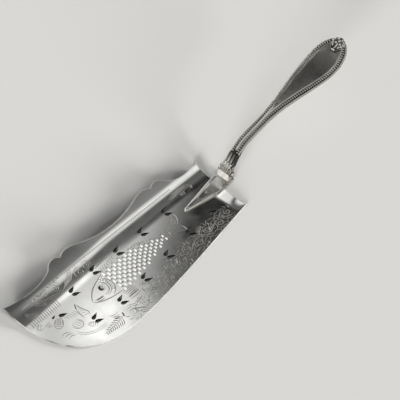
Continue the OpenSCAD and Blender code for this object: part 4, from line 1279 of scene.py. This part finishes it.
class FISHSERVER_OT_blade(bpy.types.Operator):
    """Makes the pierced and engraved blade"""
    bl_idname = "fish_server.blade"
    bl_label = "Blade"

    def execute(self, context):
        s = settings(context)
        b, e, h = plain_values(s.blade), plain_values(s.engraving), plain_values(s.handle)
        sheet = sheet_silver(s.finish)
        blade = add_mesh("engraved_blade", *carried(sheet_rings(b)), b.blade_len)
        edge_rings = wall_rings(b, blade_outline(b)[None], b.edge_bevel, 1)
        hole_rings = wall_rings(b, hole_outlines(b), b.hole_bevel, -1)
        shank_outline = round_outline((-h.rivet_at, 0), h.rivet_hole_d, 40)
        edge = add_mesh("edge", *carried(edge_rings), b.blade_len)
        holes = add_mesh("holes", *carried(hole_rings), b.blade_len)
        shank = add_mesh("shank", *carried(wall_rings(b, shank_outline[None], 0.0, -1)), b.blade_len)
        for piece in (blade, edge, shank):
            piece.data.materials.append(sheet)
        # Painted shade: the holes' walls and rounded rims are near-black
        holes.data.materials.append(deep_cut_and_hole_shade_silver(s.finish))
        cutters = [(edge, "INTERSECT"), (holes, "DIFFERENCE"), (shank, "DIFFERENCE")]
        facets, rims = scale_cuts(e)
        fish_shaded, fish_deep, fish_bright = fish_cuts(e)
        front_shaded, front_deep = front_cuts(e)
        upper_shaded, upper_bright = upper_cuts(e)
        shaded = rims + fish_shaded + front_shaded + upper_shaded
        bright = fish_bright + scroll_cuts(e) + upper_bright + edge_cut(b, e)
        kinds = (("scales", facets, 0.0, bright_cut_silver),
                 ("shaded", shaded, -e.from_light, shaded_cut_silver),
                 ("bright", bright, e.to_light, cut_silver),
                 ("deep", fish_deep + front_deep, 0.0, deep_cut_and_hole_shade_silver))
        for name, cuts, bias, silver_of in kinds:
            cutters += groove_cutters(b, e, cuts, bias, name, silver_of(s.finish))
        settle(blade, cutters)
        finish_piece(blade, ["blade"], 5)
        return {"FINISHED"}


class FISHSERVER_OT_tongue(bpy.types.Operator):
    """Makes the V-shaped tongue and finishes its rivet"""
    bl_idname = "fish_server.tongue"
    bl_label = "Tongue"

    def execute(self, context):
        s = settings(context)
        b, h = plain_values(s.blade), plain_values(s.handle)
        rings, x, over = tongue_rings(h, b.sheet_t)
        tongue = add_mesh("flanged_tongue", *carried(rings), b.blade_len)
        tongue.data.materials.append(handle_silver(s.finish))
        tongue.data.materials.append(matted_silver(s.finish))
        # The panel lies between this column of the section and its mirror image
        first = 6
        stations, columns = rings.shape[1:3]
        ground = (x > panel_start(h)) & (x < RAMP_TO)
        matted = np.zeros((stations - 1, columns), np.int32)
        matted[np.ix_(ground[:-1] & ground[1:], np.arange(first, columns - 1 - first))] = 1
        faces = np.zeros(len(tongue.data.polygons), np.int32)
        faces[:matted.size] = matted.ravel()
        tongue.data.polygons.foreach_set("material_index", faces)
        depth = np.zeros((stations, columns))
        sunk = np.clip(-over / h.sunk_depth, 0.55 * ground, 1)
        depth[:, first - 1:columns - first + 1] = sunk[:, None]
        keep_patina_and_shade(tongue, 0.8 * depth)
        finish_piece(tongue, ["heel_tongue"], 32)
        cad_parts["tongue_rivet"].data.materials.clear()
        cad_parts["tongue_rivet"].data.materials.append(rivet_silver(s.finish))
        return {"FINISHED"}


class FISHSERVER_OT_handle(bpy.types.Operator):
    """Makes the neck, stem and oval end"""
    bl_idname = "fish_server.handle"
    bl_label = "Handle"

    def execute(self, context):
        s = settings(context)
        rings, patina_and_shade = core_rings(plain_values(s.handle))
        core = add_mesh("handle_forging", *carried(rings), plain_values(s.blade).blade_len)
        core.data.materials.append(handle_silver(s.finish))
        keep_patina_and_shade(core, patina_and_shade)
        finish_piece(core, ["handle_core"], 32)
        return {"FINISHED"}


class FISHSERVER_OT_wires(bpy.types.Operator):
    """Makes the beaded and the plain wire along both edges of the handle"""
    bl_idname = "fish_server.wires"
    bl_label = "Wires"

    def execute(self, context):
        s = settings(context)
        h, leaf = plain_values(s.handle), plain_values(s.leaf)
        blade_len = plain_values(s.blade).blade_len

        def full_bead(run):
            """Radius of a whole bead, which grows beside the tip leaf over the wire's last 13 mm."""
            return h.bead_d / 2 + BEAD_GROWTH * step01((run - run.max() + 13) / BEAD_GROWTH_RUN)

        def bead_radius(run):
            """A row of balls, shorter than they are wide, on a thinner wire: the root of the radius
            squared less the stretched run from the ball's middle squared."""
            shorter = 1.5
            from_middle = np.mod(run, h.bead_pitch) - h.bead_pitch / 2
            ball = np.sqrt(np.maximum((h.bead_d / 2) ** 2 - (shorter * from_middle) ** 2, 0))
            return np.maximum(ball, h.bead_neck_d / 2) * full_bead(run) / (h.bead_d / 2)

        def rim_radius(run):
            """The same radius all along."""
            return np.full_like(run, h.rim_d / 2)

        bead_path = wire_path(h, h.rim_d + h.wire_clear + h.bead_d / 2, BEAD_GROWTH, 0, BEAD_LIFT,
                              leaf.tip_leaf_half_w)
        rim_path = wire_path(h, h.rim_d / 2, 0, h.rim_d / 2 - h.bead_d / 2, 0, leaf.tip_leaf_half_w)
        beads = wire_rings(bead_path, h.bead_pitch / 10, bead_radius, full_bead)
        rim = wire_rings(rim_path, 0.7, rim_radius, rim_radius)
        self.pair("bead_wire", beads, "ornament_silver", cast_silver(s.finish), blade_len)
        self.pair("rim_wire", rim, "handle_silver", handle_silver(s.finish), blade_len)
        return {"FINISHED"}

    def pair(self, kind, made, slot, material, blade_len):
        """A wire on each side of the handle, given the patina colour where it is thinner than a whole
        bead: patina in the necks between the beads and painted shade on their flanks.
        """
        rings, fullness = made
        # Painted shade on each bead's flanks, with patina in the thin wire between beads
        gaps_and_flank_shade = 1.3 * step01((0.93 - fullness) / 0.35)
        for side, placed in (("left", rings), ("right", mirrored_rings(rings))):
            wire = add_mesh(f"{kind}_{side}_round", *carried(placed), blade_len)
            wire.data.materials.append(material)
            keep_patina_and_shade(wire, np.broadcast_to(gaps_and_flank_shade, placed.shape[1:3]))
            finish_piece(wire, [f"{kind}_{side}"], 60)


class FISHSERVER_OT_leaves(bpy.types.Operator):
    """Makes the acanthus leaf on the neck and the palmette on the tip"""
    bl_idname = "fish_server.leaves"
    bl_label = "Leaves"

    def execute(self, context):
        s = settings(context)
        h, leaf = plain_values(s.handle), plain_values(s.leaf)
        for name, node, made in (("neck_acanthus", "neck_leaf", neck_leaf(h, leaf)),
                                 ("tip_palmette", "tip_leaf", tip_leaf(h, leaf))):
            rings, hollow = made
            piece = add_mesh(name, *carried(rings), plain_values(s.blade).blade_len)
            piece.data.materials.append(cast_silver(s.finish))
            keep_patina_and_shade(piece, hollow)
            finish_piece(piece, [node], 60)
        return {"FINISHED"}


class FISHSERVER_OT_studio(bpy.types.Operator):
    """Sets the floor, the lamps, the room and the camera"""
    bl_idname = "fish_server.studio"
    bl_label = "Studio"

    def execute(self, context):
        s = settings(context)
        scene = context.scene
        st, blade_len = plain_values(s.studio), plain_values(s.blade).blade_len
        self.floor(scene, s, st)
        self.panel(st, blade_len)
        self.room(scene, st)
        self.camera(scene, st, blade_len)
        scene.view_settings.view_transform = "Standard"
        return {"FINISHED"}

    def square(self, name, half, z, blade_len):
        """A flat square of the stage at height z."""
        corners = np.array([(-1, -1), (1, -1), (1, 1), (-1, 1)])
        points = np.column_stack([half * corners, np.full(4, z)])
        piece = add_mesh(name, points, [np.arange(4)[None]], blade_len)
        return piece

    def floor(self, scene, s, st):
        """A wide matt square just under the blade, lit from the plain side by low, soft lamps that
        leave the pierced holes dark."""
        floor = self.square("floor", 2500, -0.05, 0)
        material, tree = new_material("matt_studio_floor")
        shader = add_node(tree, "ShaderNodeBsdfPrincipled",
                          {"Base Color": s.finish.floor, "Roughness": 0.9})
        add_node(tree, "ShaderNodeOutputMaterial", {"Surface": shader.outputs[0]})
        floor.data.materials.append(material)
        for number, around in enumerate((0, 65, -65)):
            light = bpy.data.lights.new(f"floor_light_{number}", "SUN")
            light.energy, light.angle = st.floor_light, math.radians(20)
            lamp = bpy.data.objects.new(light.name, light)
            lamp.rotation_euler = (math.radians(78), 0, math.radians(around))
            lamp.visible_glossy = False
            scene.collection.objects.link(lamp)

    def panel(self, st, blade_len):
        """The light panel that the metal mirrors: bright over the blade's front beyond a slanting
        soft edge, with bands across it for the turned-up side. Places are millimetres from the heel,
        and levels are brightness."""
        reach = 700.0
        panel = self.square("light_panel", reach, st.panel_height, blade_len)
        panel.visible_camera = panel.visible_diffuse = panel.visible_shadow = False
        material, tree = new_material("studio_light_panel")
        place = add_node(tree, "ShaderNodeTexCoord").outputs["Object"]
        spot = add_node(tree, "ShaderNodeMapping",
                        {"Vector": place, "Scale": (1 / MM,) * 3,
                         "Location": (-blade_len / 2, 0, 0)}).outputs[0]
        x, y, _ = add_node(tree, "ShaderNodeSeparateXYZ", {0: spot}).outputs

        def measured(operation, vector):
            """Run along a direction, or distance from a point."""
            return add_node(tree, "ShaderNodeVectorMath", {0: spot, 1: vector},
                            operation=operation).outputs["Value"]

        def soft_edge(value, first, last, level):
            """Brightness that grows from 0 to its level between two values."""
            return add_node(tree, "ShaderNodeMapRange",
                            {"Value": value, "From Min": first, "From Max": last, "To Max": level},
                            interpolation_type="SMOOTHSTEP").outputs[0]

        def blend(operation, *values):
            """The values joined by one operation."""
            return add_node(tree, "ShaderNodeMath", dict(enumerate(values)),
                            operation=operation).outputs[0]

        # Key light beyond the slanting edge, a dip in it, and the glint farther out
        beyond = measured("DOT_PRODUCT", (-0.534, 0.845, 0))
        key = soft_edge(beyond, 60.0, 122.0, st.key)
        dip = soft_edge(beyond, 132.0, 165.0, st.dip)
        glint = soft_edge(beyond, 155.0, 205.0, st.glint + st.dip)
        near_side = soft_edge(y, 112.0, 134.0, 1.0)
        lit = blend("MULTIPLY_ADD", blend("SUBTRACT", key, dip), near_side, glint)
        corner = soft_edge(measured("DISTANCE", (22, 141, st.panel_height)), 56.0, 14.0, st.corner)
        # Bands across Y, from the far side of the handle's line to the near side
        bands = ((-700, 1.2), (-520, 1.2), (-420, 0.9), (-280, 0.9), (-245, 0.5), (-205, 0.1),
                 (-166, 0.07), (-95, 0.07), (-60, 0.08), (40, 0.06), (72, 0.07), (84, 0.13),
                 (110, 0.16), (127, 0.14), (145, 0.06), (160, 0.02), (180, 0.0), (700, 0.0))
        across = add_node(tree, "ShaderNodeMapRange",
                          {"Value": y, "From Min": -reach, "From Max": reach})
        ramp = add_node(tree, "ShaderNodeValToRGB", {0: across.outputs[0]})
        stops = ramp.color_ramp.elements
        for number, (at, level) in enumerate(bands):
            stop = stops[number] if number < 2 else stops.new(1.0)
            stop.position, stop.color = (at + reach) / (2 * reach), (level, level, level, 1)
        # Round roll of light along the ridge, and the dim band that the lobes mirror
        ridge_near = soft_edge(y, 80.0, -12.0, st.ridge)
        ridge_far = soft_edge(y, -112.0, -16.0, 1.0)
        along = soft_edge(x, -55.0, 28.0, 1.0)
        ridge_band = blend("MULTIPLY", blend("MULTIPLY", ridge_near, ridge_far), along)
        lobe_band = blend("MULTIPLY", soft_edge(y, -80.0, -108.0, 0.11), soft_edge(x, 30.0, 110.0, 1.0))
        rolls = blend("ADD", ridge_band, lobe_band)
        total = blend("ADD", blend("ADD", ramp.outputs[0], rolls), blend("ADD", lit, corner))
        shader = add_node(tree, "ShaderNodeEmission",
                          {"Color": (0.975, 0.99, 1.02, 1), "Strength": total})
        add_node(tree, "ShaderNodeOutputMaterial", {"Surface": shader.outputs[0]})
        panel.data.materials.append(material)

    def room(self, scene, st):
        """A dim room for the metal to mirror: lighter towards the horizon, with a window in front."""
        world = bpy.data.worlds.new("dim_room")
        world.use_nodes = True
        tree = world.node_tree
        tree.nodes.clear()
        way = add_node(tree, "ShaderNodeTexCoord").outputs["Generated"]
        axes = add_node(tree, "ShaderNodeSeparateXYZ", {0: way})
        level = add_node(tree, "ShaderNodeMapRange",
                         {"Value": axes.outputs["Z"], "From Min": 0.15, "From Max": 0.5,
                          "To Min": st.horizon, "To Max": st.room})
        towards = add_node(tree, "ShaderNodeVectorMath", {0: way, 1: (-0.875, 0.45, 0.18)},
                           operation="DOT_PRODUCT")
        window = add_node(tree, "ShaderNodeMapRange",
                          {"Value": towards.outputs["Value"], "From Min": 0.82, "From Max": 0.95,
                           "To Max": st.window}, interpolation_type="SMOOTHSTEP")
        total = add_node(tree, "ShaderNodeMath", {0: level.outputs[0], 1: window.outputs[0]})
        back = add_node(tree, "ShaderNodeBackground",
                        {"Strength": total.outputs[0], "Color": (1, 1, 1, 1)})
        add_node(tree, "ShaderNodeOutputWorld", {"Surface": back.outputs[0]})
        scene.world = world

    def camera(self, scene, st, blade_len):
        """Looks at a point near the heel from an azimuth and an elevation."""
        ca, sa = math.cos(st.azimuth), math.sin(st.azimuth)
        ce, se = math.cos(st.elevation), math.sin(st.elevation)
        right, back = np.array([ca, sa, 0]), np.array([sa * ce, -ca * ce, se])
        up = np.cross(back, right)
        aim = np.array([blade_len / 2, 0, 0]) + right * st.aim_right + up * st.aim_up
        place = (aim + back * st.distance) * MM
        data = bpy.data.cameras.new("camera")
        data.lens = st.lens
        camera = bpy.data.objects.new("camera", data)
        turned = np.stack([right, up, back], axis=1)
        camera.matrix_world = Matrix.Translation(place) @ Matrix(turned.tolist()).to_4x4()
        scene.collection.objects.link(camera)
        scene.camera = camera


class FISHSERVER_PT_panel(bpy.types.Panel):
    """Lists the pieces and their settings"""
    bl_idname = "FISHSERVER_PT_panel"
    bl_label = "Fish server"
    bl_space_type = "VIEW_3D"
    bl_region_type = "UI"
    bl_category = "Fish server"

    def draw(self, context):
        for operator in OPERATORS:
            self.layout.operator(operator.bl_idname)
        for name in ("blade", "engraving", "handle", "leaf", "finish", "studio"):
            group = getattr(settings(context), name)
            box = self.layout.box()
            box.label(text=name.capitalize())
            for prop in own_properties(group):
                box.prop(group, prop.identifier)


GROUPS = (BladeSizes, EngravingSizes, HandleSizes, LeafSizes, Finishes, StudioSettings,
          FishServerSettings)
OPERATORS = (FISHSERVER_OT_blade, FISHSERVER_OT_tongue, FISHSERVER_OT_handle, FISHSERVER_OT_wires,
             FISHSERVER_OT_leaves, FISHSERVER_OT_studio)


def register():
    """Registers the classes and the scene's settings."""
    for cls in GROUPS + OPERATORS + (FISHSERVER_PT_panel,):
        bpy.utils.register_class(cls)
    bpy.types.Scene.fish_server = PointerProperty(type=FishServerSettings)


def unregister():
    """Takes the settings and the classes out again."""
    del bpy.types.Scene.fish_server
    for cls in (FISHSERVER_PT_panel,) + OPERATORS[::-1] + GROUPS[::-1]:
        bpy.utils.unregister_class(cls)


def main():
    """Makes all the pieces and the stage."""
    register()
    for make in ("blade", "tongue", "handle", "wires", "leaves", "studio"):
        getattr(bpy.ops.fish_server, make)()


if __name__ == "__main__":
    main()
